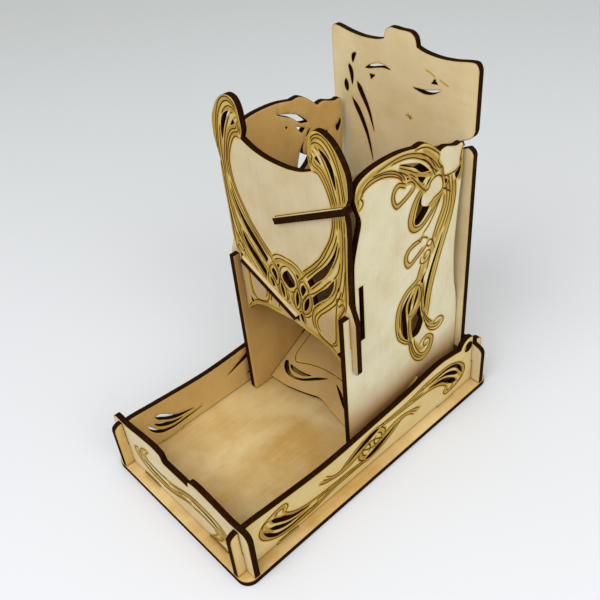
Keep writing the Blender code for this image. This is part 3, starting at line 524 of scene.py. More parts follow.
@dataclass(frozen=True)
class Lay:
    """Where a plate lies: its two directions in the plane and the one that its front faces."""

    across: np.ndarray
    upward: np.ndarray
    facing: np.ndarray

    @classmethod
    def of(cls, normal: np.ndarray, upward: Space) -> "Lay":
        """The lay of a plate that faces one way, turned so that its second direction goes upward."""
        facing = normal / np.linalg.norm(normal)
        up = np.asarray(upward, float)
        up = up - facing * (up @ facing)
        up /= np.linalg.norm(up)
        return cls(np.cross(up, facing), up, facing)

    def flat(self, points: np.ndarray) -> np.ndarray:
        """Places in space told on the plate: along, up and through."""
        return points @ np.stack([self.across, self.upward, self.facing], axis=1)

    def solid(self, points: np.ndarray) -> np.ndarray:
        """Places on the plate told in space."""
        return points @ np.stack([self.across, self.upward, self.facing])


@dataclass(frozen=True)
class Line:
    """An engraved line through knots on a plate; one without a width only toasts the veneer."""

    knots: Path
    width: float
    halo: float

    def turned(self, centre: Point) -> "Line":
        """The line after half a turn about a centre."""
        knots = tuple((2 * centre[0] - u, 2 * centre[1] - v) for u, v in self.knots)
        return Line(knots, self.width, self.halo)

    def mirrored(self) -> "Line":
        """The line on the other side of the plate's middle."""
        return Line(tuple((-u, v) for u, v in self.knots), self.width, self.halo)


Stretch = tuple[Line, np.ndarray]


def lines(paths: Paths, width: float = 0.6, halo: float = 0.9) -> list[Line]:
    """Engraved lines of one width, with the scorch beside them."""
    return [Line(path, width, halo) for path in paths]


def shades(paths: Paths, halo: float = 1.7) -> list[Line]:
    """Toasted bands without a line."""
    return lines(paths, 0.0, halo)


# Net of a plate


@dataclass
class Raster:
    """Square net over a plate, on which its material and distances are told."""

    low: np.ndarray
    high: np.ndarray
    pitch: float

    def __post_init__(self) -> None:
        """Works out how many cells the net has each way."""
        self.cells = tuple(np.ceil((self.high - self.low) / self.pitch).astype(int) + 1)

    def middles(self) -> np.ndarray:
        """Middles of all the cells, as a grid of points."""
        counts = np.stack(np.meshgrid(*(np.arange(count) for count in self.cells), indexing="ij"), axis=-1)
        return self.low + (counts + 0.5) * self.pitch

    def every(self, count: int) -> np.ndarray:
        """Marks one cell in so many, each way."""
        marked = np.zeros(self.cells, bool)
        marked[::count, ::count] = True
        return marked

    def distance(self, samples: np.ndarray, reach: float) -> np.ndarray:
        """Distance from each cell to the nearest sample, no more than the reach.

        Args:
            samples: Points closer together than a cell.
            reach: Distance past which it no longer matters.

        Returns:
            The distances, one for each cell.
        """
        told = np.full(self.cells, reach)
        if not len(samples):
            return told
        spread = np.arange(-math.ceil(reach / self.pitch), math.ceil(reach / self.pitch) + 1)
        window = np.stack(np.meshgrid(spread, spread, indexing="ij"), axis=-1).reshape(-1, 2)
        cell = np.floor((samples - self.low) / self.pitch).astype(int)
        target = (cell[:, None] + window).reshape(-1, 2)
        middle = (self.low + (target + 0.5) * self.pitch).reshape(len(samples), -1, 2)
        gap = np.linalg.norm(middle - samples[:, None], axis=2).ravel()
        known = ((target >= 0) & (target < np.array(self.cells))).all(axis=1) & (gap < reach)
        np.minimum.at(told, tuple(target[known].T), gap[known])
        return told

    def material(self, rims: list[np.ndarray]) -> np.ndarray:
        """Whether each cell's middle is in the material.

        Along a row of cells the material starts or stops at each rim that is crossed, so an odd
        count of crossings to the left means material.
        """
        crossed = np.zeros((self.cells[0] + 1, self.cells[1]), int)
        rows = self.low[1] + (np.arange(self.cells[1]) + 0.5) * self.pitch
        for rim in rims:
            start = rim[:, None]
            end = np.roll(rim, -1, axis=0)[:, None]
            spans = (start[..., 1] > rows) != (end[..., 1] > rows)
            rise = np.where(spans, end[..., 1] - start[..., 1], 1.0)
            place = start[..., 0] + (rows - start[..., 1]) / rise * (end[..., 0] - start[..., 0])
            column = np.ceil((place - self.low[0]) / self.pitch - 0.5).astype(int).clip(0, self.cells[0])
            edge, row = np.nonzero(spans)
            np.add.at(crossed, (column[edge, row], row), 1)
        return np.cumsum(crossed, axis=0)[:-1] % 2 == 1

    def look(self, told: np.ndarray, points: np.ndarray) -> np.ndarray:
        """What the cells that hold the points say."""
        cell = np.floor((points - self.low) / self.pitch).astype(int)
        cell = np.clip(cell, 0, np.array(self.cells) - 1)
        return told[cell[:, 0], cell[:, 1]]


def covered(loop: np.ndarray, points: np.ndarray) -> np.ndarray:
    """Whether a loop goes round each point, by the count of its sides that lie to the right."""
    start = loop[None]
    end = np.roll(loop, -1, axis=0)[None]
    spans = (start[..., 1] > points[:, None, 1]) != (end[..., 1] > points[:, None, 1])
    rise = np.where(spans, end[..., 1] - start[..., 1], 1.0)
    place = start[..., 0] + (points[:, None, 1] - start[..., 1]) / rise * (end[..., 0] - start[..., 0])
    return (spans & (place > points[:, None, 0])).sum(axis=1) % 2 == 1


class Part(Enum):
    """The four finishes of a plate, in the order of its material slots."""

    FRONT = 0
    BACK = 1
    EDGE = 2
    LINE = 3


@dataclass
class Skin:
    """Surface that grows patch by patch: points, how scorched they are, triangles and finishes."""

    points: list[np.ndarray] = field(default_factory=list)
    scorch: list[np.ndarray] = field(default_factory=list)
    triangles: list[np.ndarray] = field(default_factory=list)
    finishes: list[np.ndarray] = field(default_factory=list)
    count: int = 0

    def add(self, points: np.ndarray, scorch: np.ndarray | float) -> int:
        """Adds points and hands back the number of the first."""
        first = self.count
        self.points.append(points)
        self.scorch.append(np.broadcast_to(scorch, len(points)).astype(float))
        self.count += len(points)
        return first

    def level(self, flat: np.ndarray, height: float, scorch: np.ndarray | float) -> np.ndarray:
        """Adds points of the plane at one height and hands back their numbers."""
        first = self.add(np.column_stack([flat, np.full(len(flat), height)]), scorch)
        return first + np.arange(len(flat))

    def face(self, triangles: np.ndarray, part: Part) -> None:
        """Adds triangles of one finish."""
        self.triangles.append(triangles)
        self.finishes.append(np.full(len(triangles), part.value))

    def strip(self, lower: np.ndarray, upper: np.ndarray, part: Part) -> None:
        """Adds the closed strip between two rings of points, or between each pair of such rings."""
        lower_next, upper_next = np.roll(lower, -1, axis=-1), np.roll(upper, -1, axis=-1)
        self.face(np.stack([lower, lower_next, upper_next], axis=-1).reshape(-1, 3), part)
        self.face(np.stack([lower, upper_next, upper], axis=-1).reshape(-1, 3), part)

    def mesh(self, name: str, lay: Lay, dress: dict[Part, bpy.types.Material]) -> bpy.types.Object:
        """Puts the surface into an object.

        Args:
            name: Name of the object.
            lay: Where the plate lies.
            dress: Material of each finish.

        Returns:
            The object, at the origin with its place in its mesh.
        """
        points = lay.solid(np.concatenate(self.points)) * MM
        triangles = np.concatenate(self.triangles).astype(np.int32)
        mesh = bpy.data.meshes.new(name)
        mesh.vertices.add(len(points))
        mesh.vertices.foreach_set("co", points.astype(np.float32).ravel())
        mesh.loops.add(triangles.size)
        mesh.loops.foreach_set("vertex_index", triangles.ravel())
        mesh.polygons.add(len(triangles))
        mesh.polygons.foreach_set("loop_start", np.arange(0, triangles.size, 3, dtype=np.int32))
        mesh.polygons.foreach_set("material_index", np.concatenate(self.finishes).astype(np.int32))
        mesh.update(calc_edges=True)
        mark = mesh.attributes.new("scorch", "FLOAT", "POINT")
        mark.data.foreach_set("value", np.concatenate(self.scorch).astype(np.float32))
        for part in Part:
            mesh.materials.append(dress[part])
        made = bpy.data.objects.new(name, mesh)
        bpy.context.scene.collection.objects.link(made)
        return made


# Profile of an engraved line

LINE_ACROSS = (-0.5, -0.44, 0.0, 0.44, 0.5)  # shares of its width
LINE_HEIGHT = (-0.05, 0.018, 0.030, 0.018, -0.05)  # mm over the face
LINE_END = ((0, 2, 1), (0, 3, 2), (0, 4, 3))  # triangles that close an end
LINE_TIP = 0.25  # share of its width that is left at an end
LINE_TAPER = 1.6  # mm over which it grows by a whole width

# How a plate is read

ALIKE = 0.999  # cosine past which faces look the same way
PLANE_SLACK = 0.01  # mm that a point of a wide face may be off its plane
NO_CORNER = 180.0  # degrees, a turn that no corner passes
FILL_INSIDE = 1  # Blender's number for triangles inside the edges alone
SAME_PLACE = 1e-7  # mm below which two points are one


@dataclass(frozen=True)
class Ground:
    """A plate's net with its rings, its material and the room from each cell to the nearest cut."""

    raster: Raster
    rings: list[np.ndarray]
    material: np.ndarray
    room: np.ndarray


@dataclass
class Plate:
    """One sheet of the tower, dressed with its cuts, burnt edges and engraving.

    Its first fields say which node it stands for, which way its front and its top look, and what
    its two faces are made of and carry. The others are the same for all plates but a few.
    """

    node: str
    name: str
    facing: Space
    upward: Space
    front: BirchFace
    back: BirchFace
    front_lines: list[Line] = field(default_factory=list)
    back_lines: list[Line] = field(default_factory=list)
    rim_step: float = 0.6  # mm between the points of a rim
    line_step: float = 0.5  # mm between the points of a line
    mark_step: float = 0.3  # mm between the places where a line marks the net
    ring_step: float = 0.7  # pitches between the places where a ring marks the net
    pitch: float = 0.45  # mm, size of the net's cells
    coarse: int = 5  # away from lines and cuts, one cell in so many is used each way
    arris: float = 0.16  # mm of the edge that are worn away
    reach: float = 2.4  # mm from a cut, or halos from a line, past which it no longer matters
    fine_reach: float = 1.4  # mm from a cut in which the net is fine
    fine_halos: float = 2.0  # halos from a line in which the net is fine
    ring_room: float = 0.55  # pitches that stay free beside a ring
    line_room: float = 0.9  # widths that a line keeps from a cut
    fewest: int = 3  # a stretch of a line has more points than this
    glow: float = 0.55  # mm that the scorch of a cut reaches
    edge_halo: float = 0.55  # how strong it is there
    plain_share: float = 0.4  # how much of it a face without lines has
    rim_more: float = 0.1  # how much stronger it is on the ring itself

    def outline(self, node: bpy.types.Object) -> tuple[Lay, list[np.ndarray], float, float]:
        """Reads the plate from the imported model.

        The wide faces are where most of the area looks, and the rims of the front one are the
        sides that only one of its triangles has.

        Args:
            node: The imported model's own plate.

        Returns:
            How it lies, its rims with the outline first, and its back and front planes.
        """
        mesh = node.data
        places = np.empty(len(mesh.vertices) * 3)
        mesh.vertices.foreach_get("co", places)
        places = places.reshape(-1, 3) / MM
        mesh.calc_loop_triangles()
        corners = np.empty(len(mesh.loop_triangles) * 3, np.int32)
        mesh.loop_triangles.foreach_get("vertices", corners)
        corners = corners.reshape(-1, 3)
        first, second, third = (places[corners[:, corner]] for corner in range(3))
        areas = np.cross(second - first, third - first)
        sizes = np.linalg.norm(areas, axis=1)
        wide = areas[sizes.argmax()]
        alike = areas[np.abs(areas @ wide) > ALIKE * sizes * np.linalg.norm(wide)]
        normal = (alike * np.sign(alike @ wide)[:, None]).sum(axis=0)
        lay = Lay.of(normal * np.sign(normal @ np.array(self.facing)), self.upward)
        flat = np.round(lay.flat(places), 3)
        known, index = np.unique(flat, axis=0, return_inverse=True)
        triangles = index.ravel()[corners]
        bottom, top = float(known[:, 2].min()), float(known[:, 2].max())
        cap = triangles[(known[:, 2] > top - PLANE_SLACK)[triangles].all(axis=1)]
        edges = np.concatenate([cap[:, [0, 1]], cap[:, [1, 2]], cap[:, [2, 0]]])
        total = len(known)
        lone = edges[~np.isin(edges[:, 0] * total + edges[:, 1], edges[:, 1] * total + edges[:, 0])]
        follow = dict(lone.tolist())
        rims = []
        while follow:
            start, here = follow.popitem()
            chain = [start]
            while here != start:
                chain.append(here)
                here = follow.pop(here)
            rims.append(known[chain, :2])
        rims.sort(key=lambda rim: -np.ptp(rim, axis=0).prod())
        return lay, rims, bottom, top

    def ground(self, rims: list[np.ndarray]) -> Ground:
        """Lays the net over the plate, inside rings that are the rims drawn in by the arris."""
        rings = [rim - outward(rim) * self.arris for rim in rims]
        low, high = rims[0].min(axis=0), rims[0].max(axis=0)
        raster = Raster(low - self.pitch, high + self.pitch, self.pitch)
        cuts = np.concatenate([refined(ring, self.pitch * self.ring_step, NO_CORNER) for ring in rings])
        return Ground(raster, rings, raster.material(rings), raster.distance(cuts, self.reach))

    def net(self, ground: Ground, wanted: np.ndarray) -> tuple[np.ndarray, np.ndarray]:
        """Fills a face between its rings.

        Args:
            ground: The plate's net and rings.
            wanted: Which cells' middles become points of the face.

        Returns:
            Points inside the face, and triangles on the rings' points followed by these.
        """
        inside = ground.raster.middles()[wanted]
        flat = np.concatenate([*ground.rings, inside])
        sides = []
        first = 0
        for ring in ground.rings:
            order = np.arange(first, first + len(ring))
            sides.append(np.stack([order, np.roll(order, -1)], axis=1))
            first += len(ring)
        points = [Vector(point) for point in flat.tolist()]
        edges = np.concatenate(sides).tolist()
        made, _, cells, origin, *_ = delaunay_2d_cdt(points, edges, [], FILL_INSIDE, SAME_PLACE)
        if len(made) != len(flat):
            LOG.warning("%s: the net has %d points for %d", self.name, len(made), len(flat))
        source = np.array([sources[0] if sources else -1 for sources in origin])
        triangles = source[np.array(cells)]
        triangles = triangles[(triangles >= 0).all(axis=1)]
        middle = flat[triangles].mean(axis=1)
        on_rim = (triangles < first).all(axis=1)
        keep = np.ones(len(triangles), bool)
        for ring in ground.rings[1:]:
            keep[on_rim] &= ~covered(ring, middle[on_rim])
        triangles = triangles[keep]
        a, b, c = (flat[triangles[:, corner]] for corner in range(3))
        spin = (b[:, 0] - a[:, 0]) * (c[:, 1] - a[:, 1]) - (b[:, 1] - a[:, 1]) * (c[:, 0] - a[:, 0])
        triangles[spin < 0] = triangles[spin < 0][:, ::-1]
        return inside, triangles

    def trimmed(self, line: Line, ground: Ground) -> list[np.ndarray]:
        """The stretches of a line that keep clear of the plate's cuts."""
        path = through(line.knots, self.line_step)
        room = np.where(ground.material, ground.room, 0.0)
        free = ground.raster.look(room, path) > line.width * self.line_room
        changes = np.flatnonzero(np.diff(free.astype(int))) + 1
        runs = np.split(np.arange(len(path)), changes)
        return [path[run] for run in runs if free[run[0]] and len(run) > self.fewest]

    def ribbon(self, skin: Skin, path: np.ndarray, width: float, level: float, side: int) -> None:
        """Adds an engraved line: a low five-sided profile carried along a path.

        A point of it is the path's point plus the sideways direction times the profile's place
        across, drawn in towards both ends, at the profile's height over the face.

        Args:
            skin: Surface to add to.
            path: Middle of the line.
            width: Its width.
            level: Height of the face.
            side: 1 on the front face and -1 on the back one.
        """
        along = np.gradient(path, axis=0)
        along /= np.linalg.norm(along, axis=1)[:, None] + 1e-9
        sideways = np.stack([along[:, 1], -along[:, 0]], axis=1) * side
        walked = np.concatenate([[0], np.cumsum(np.linalg.norm(np.diff(path, axis=0), axis=1))])
        to_end = np.minimum(walked, walked[-1] - walked)
        taper = np.clip(LINE_TIP + to_end / LINE_TAPER, 0, 1)
        across = np.array(LINE_ACROSS) * width
        height = np.array(LINE_HEIGHT)
        flat = path[:, None] + sideways[:, None] * (across[None, :, None] * taper[:, None, None])
        rise = np.broadcast_to(level + side * height[None, :, None], (*flat.shape[:2], 1))
        first = skin.add(np.concatenate([flat, rise], axis=2).reshape(-1, 3), 0.0)
        rings = first + np.arange(flat[..., 0].size).reshape(flat.shape[:2])
        skin.strip(rings[:-1], rings[1:], Part.LINE)
        ends = np.array(LINE_END)
        skin.face(rings[0][ends], Part.LINE)
        skin.face(rings[-1][ends[:, ::-1]], Part.LINE)

    def scorched(self, ground: Ground, kept: list[Stretch]) -> tuple[np.ndarray, np.ndarray]:
        """How scorched each cell is by the lines, and which cells are close to one.

        At a distance d from a line whose halo is h, the scorch is e to the power -(d / h)^3.

        Args:
            ground: The plate's net.
            kept: Lines with the stretches of them that are drawn.

        Returns:
            The scorch from 0 to 1, and whether the net is fine there.
        """
        glow = np.zeros(ground.raster.cells)
        fine = np.zeros(ground.raster.cells, bool)
        for halo in sorted({line.halo for line, _ in kept}):
            marks = [through(run, self.mark_step) for line, run in kept if line.halo == halo]
            gap = ground.raster.distance(np.concatenate(marks), self.reach * halo)
            glow = np.maximum(glow, np.exp(-((gap / halo) ** 3)) * (gap < self.reach * halo))
            fine |= gap < self.fine_halos * halo
        return glow, fine

    def face(self, skin: Skin, ground: Ground, part: Part, level: float) -> np.ndarray:
        """Adds a wide face: its net, how scorched it is, and its engraved lines.

        Args:
            skin: Surface to add to.
            ground: The plate's net and rings.
            part: Which of the two faces.
            level: Height of the face.

        Returns:
            Numbers of its points, those on the rings first.
        """
        side, drawn = (1, self.front_lines) if part is Part.FRONT else (-1, self.back_lines)
        kept = [(line, run) for line in drawn for run in self.trimmed(line, ground)]
        glow, fine = self.scorched(ground, kept)
        rim = self.edge_halo if drawn else self.edge_halo * self.plain_share
        glow = np.clip(glow + rim * np.exp(-((ground.room / self.glow) ** 2)), 0, 1)
        fine |= (ground.room < self.fine_reach) & bool(drawn)
        fine |= ground.raster.every(self.coarse)
        wanted = ground.material & fine & (ground.room > self.pitch * self.ring_room)
        inside, triangles = self.net(ground, wanted)
        flat = np.concatenate([*ground.rings, inside])
        scorch = np.concatenate([np.full(len(flat) - len(inside), rim + self.rim_more), glow[wanted]])
        numbers = skin.level(flat, level, scorch)
        skin.face(triangles[:, ::side] + numbers[0], part)
        for line, run in kept:
            if line.width:
                self.ribbon(skin, run, line.width, level, side)
        return numbers

    def build(self, frame: dict) -> bpy.types.Object:
        """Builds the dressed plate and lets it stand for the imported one.


        Returns:
            The plate.
        """
        lay, rims, bottom, top = self.outline(frame["nodes"][self.node])
        rims = [refined(rim, self.rim_step) for rim in rims]
        ground = self.ground(rims)
        skin = Skin()
        front = self.face(skin, ground, Part.FRONT, top)
        back = self.face(skin, ground, Part.BACK, bottom)
        start = 0
        for rim in rims:
            ring = slice(start, start + len(rim))
            upper = skin.level(rim, top - self.arris, 1.0)
            lower = skin.level(rim, bottom + self.arris, 1.0)
            skin.strip(upper, front[ring], Part.EDGE)
            skin.strip(lower, upper, Part.EDGE)
            skin.strip(back[ring], lower, Part.EDGE)
            start += len(rim)
        kinds = dict(zip(Part, (self.front, self.back, CharredEdge(), BurntLine())))
        made = skin.mesh(self.name, lay, {part: finish(kind) for part, kind in kinds.items()})
        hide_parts(self.node)
        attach(made, "root")
        self.node + "_ply"
        LOG.info("%s: %d triangles", self.name, len(made.data.polygons))
        return made


# Ornament of the long walls: the half in front, in mm back from the middle and up from the table

LONG_LINES: Paths = (
    # The leaf bunch at the end and the stems that leave it
    (
        (-56.4, 21.2), (-55, 22.8), (-55.2, 24.8), (-56.8, 26.3), (-60, 26.6), (-63.5, 26),
        (-66.8, 25.2), (-69.8, 23.8), (-72, 21.2), (-72.5, 17.8), (-71.2, 14.2), (-68.2, 11),
        (-64, 8.4), (-58, 6.3), (-50, 5.8), (-42, 5.8), (-36, 6.4), (-30, 7.6), (-24, 8.4), (-16, 8.6),
        (-9, 8.6), (-3, 8.4), (3, 8.9), (9, 10.5), (14, 12.5), (19, 15), (22.5, 17.8),
    ),
    (
        (-57, 21), (-54.4, 18), (-50.5, 15.6), (-46, 14), (-42, 13.1), (-36, 12.4), (-30, 12),
        (-24, 11.6), (-18, 11.4), (-12, 10.9), (-8, 10.5), (-4.6, 10),
    ),
    ((-58.2, 22), (-57.6, 23.6), (-59.2, 24.5), (-61.4, 24), (-62.4, 22.8)),
    ((-70.6, 21), (-70, 23), (-67.8, 23.8), (-66, 23.2)),
    ((-63, 23), (-61.4, 24.8)),
    # The stems that cross at the middle
    (
        (-35.6, 19.5), (-33, 17.8), (-30, 16.6), (-26.6, 15.7), (-23, 14.8), (-18, 14.6), (-12, 15.6),
        (-6, 17.6), (-2, 19.4),
    ),
    (
        (-30.6, 20.9), (-28.8, 19.2), (-26.2, 17.5), (-23, 16.9), (-19, 17.5), (-15, 19.2), (-10, 21.9),
        (-5, 24), (0, 25.2), (5, 25.5), (9.6, 24.6),
    ),
    ((-32.8, 20.3), (-30.6, 18.6), (-27.6, 17)),
    # Beside the lower stem
    ((-42, 7.2), (-36, 8.2), (-30, 9.4), (-22, 10), (-15, 9.8), (-9, 9.4)),
)
LONG_KNOT: Paths = (
    # A tie on the stem, and the knot where the stems cross
    ((-37.4, 10.5), (-33.4, 10.8), (-29.2, 10.5)),
    ((-8.8, 16.6), (-9, 13.8), (-7.4, 11.4), (-5.4, 10.2)),
    ((-6.6, 17.2), (-6, 14.2), (-4, 12.4)),
    ((-4.8, 21.3), (-1.4, 18.4), (-1, 15.8), (-2, 13.8)),
    ((-7.6, 19.8), (-4.4, 16.8), (0.6, 14.6), (4, 14.8)),
)
LONG_SHADES: Paths = (
    # Round the crossing
    ((-8, 19.6), (-4.4, 16.8), (0.2, 14.6), (4.2, 14.2)),
    # Along the leaf bunch and its stems
    (
        (-56.6, 23.4), (-57.6, 25.2), (-61, 25.6), (-65.6, 24.6), (-69.6, 22.4), (-71.4, 18.2),
        (-70, 13.8), (-66.6, 10.2), (-61.6, 7.8), (-55, 6.6), (-47, 6.4), (-40, 6.8), (-33, 8.2),
        (-26, 9.6), (-18, 10), (-10, 9.8), (-3, 9.4), (4, 10.2), (10, 12),
    ),
    ((-57.4, 21.4), (-54.6, 17), (-50, 14.4), (-44, 12.7), (-36, 11.8), (-28, 11.2), (-20, 10.8)),
    ((-68.6, 21), (-66.4, 16.8), (-62.6, 13.2), (-57.4, 10.9), (-51, 10.3), (-44, 10.8)),
    ((-65.4, 21.6), (-62.4, 18), (-57.8, 15), (-52.4, 12.6), (-47, 11.7)),
    # Along the middle stems
    (
        (-34.4, 19.6), (-31, 17.8), (-27, 16.2), (-22.6, 15.7), (-17.6, 16.2), (-12.4, 16.8),
        (-7, 18.4), (-2, 20),
    ),
    ((-20, 17.4), (-14, 20.6), (-8, 23.6), (-2, 25.4), (4, 26.2)),
    ((-7.6, 15.6), (-6.4, 12.6), (-3.8, 11)),
    ((-3.6, 21), (-1, 18), (-0.6, 15)),
)
# A dark line along the wall's foot over its tenon: the gap and burnt edge of the tenon's slot in the base,
# with painted shadow where the wall meets the base
LONG_SEAM_SHADOW: Paths = (
    ((-63.4, 4), (-57, 4.1), (-51.6, 4)),
)


# Ornament of the end walls: the left half, in mm right of the middle and up from the table

END_LINES: Paths = (
    # The lower stem and the bud over it
    (
        (-33.2, 23), (-36.2, 20.8), (-37, 17.4), (-35.2, 13.4), (-31.4, 10.6), (-25, 8.8), (-18, 8.4),
        (-12, 9.2), (-6, 11), (-1, 13), (4, 15.2), (9, 17.2),
    ),
    (
        (-31.4, 20), (-31, 22.6), (-28.2, 25.8), (-24.2, 27.6), (-23.2, 26.6), (-25, 24.6), (-27, 22.2),
        (-26, 20.4),
    ),
    (
        (-33.6, 19.6), (-34.2, 16.8), (-32, 13.4), (-27.4, 11), (-21, 10.2), (-14.6, 10.8), (-9, 12.2),
        (-3, 14.6), (1.6, 16.6),
    ),
    # The upper stem and the small ties
    (
        (-30.4, 18.8), (-27, 17.7), (-22, 16.8), (-16, 16.2), (-11, 16.8), (-6, 18), (0, 20.2),
        (5, 22.4), (10, 24), (16, 24.8),
    ),
    ((-28.4, 21.4), (-27.2, 19.6), (-24.6, 18.6), (-20, 18), (-15, 17.7), (-10, 18.4)),
    ((-31, 21.4), (-28.8, 19.4)),
    ((-35.2, 21.4), (-32.6, 20.6), (-31.6, 18), (-32.2, 15.6)),
)
END_SHADES: Paths = (
    (
        (-36.6, 21), (-36.2, 17), (-34, 13.2), (-29.6, 10.4), (-24, 9.3), (-17.6, 9.2), (-11, 10.4),
        (-5, 12.4), (0, 14.6), (5, 16.6),
    ),
    ((-29.4, 18.2), (-24, 17.3), (-16.6, 17), (-10.4, 17.4), (-5, 18.4), (0, 19.8)),
    ((-30.4, 21.4), (-28.6, 24.2), (-25, 26.4), (-25.6, 24.4)),
    ((-33, 20.4), (-33, 16.8), (-31, 13.8)),
)
# Dark lines along the wall's foot over its tenons: the gaps and burnt edges of their slots in the base,
# with painted shadow where the wall meets the base
END_SEAM_SHADOWS: Paths = (
    ((-33.6, 4.1), (-27, 4.2), (-20.6, 4.3)),
    ((20.6, 4.2), (27, 4.2), (32.8, 4)),
)


# The tray


@dataclass
class Tray:
    """Base and four walls, with the engraving of the walls' outer faces."""

    long_turn: Point = (0.5, 17.0)
    end_turn: Point = (0.0, 16.4)
    edge_halo: float = 1.0
    # Width and scorch of the dark lines at the walls' foot, which are partly painted shadow
    seam_shadow_width: float = 1.0
    seam_shadow_halo: float = 1.4

    def long_lines(self) -> list[Line]:
        """Scroll of a long wall: half of it drawn, and the other half turned about the middle."""
        half = lines(LONG_LINES) + lines(LONG_KNOT, width=0.8, halo=1.3) + shades(LONG_SHADES, halo=1.35)
        seam_shadow = lines(LONG_SEAM_SHADOW, self.seam_shadow_width, self.seam_shadow_halo)
        return half + [line.turned(self.long_turn) for line in half] + seam_shadow

    def end_lines(self) -> list[Line]:
        """Scroll of an end wall, the second half turned about its middle."""
        half = lines(END_LINES, width=0.42) + shades(END_SHADES, halo=1.2)
        seam_shadows = lines(END_SEAM_SHADOWS, self.seam_shadow_width, self.seam_shadow_halo)
        return half + [line.turned(self.end_turn) for line in half] + seam_shadows

    def build(self, frame: dict) -> list[bpy.types.Object]:
        """Builds the base, then the walls."""
        long_lines = self.long_lines()
        end_lines = self.end_lines()
        walls = (
            ("right_wall", TO_RIGHT, WALL_PALE, WALL_INSIDE, long_lines, []),
            ("left_wall", TO_RIGHT, WALL_INSIDE, WALL_PALE, [], long_lines),
            ("front_wall", TO_FRONT, END_PALE, END_PALE, end_lines, []),
            ("back_wall", TO_FRONT, END_PALE, END_PALE, [], end_lines),
        )
        plates = [Plate("base_plate", "tray_base", UPWARD, TO_BACK, FLOOR_WARM, FLOOR_WARM, coarse=6)]
        plates += [
            Plate(node, "tray_" + node, facing, UPWARD, *faces_and_lines, edge_halo=self.edge_halo)
            for node, facing, *faces_and_lines in walls
        ]
        return [plate.build(frame) for plate in plates]


# Ornament of the side panels, in mm back from the origin and up from the table

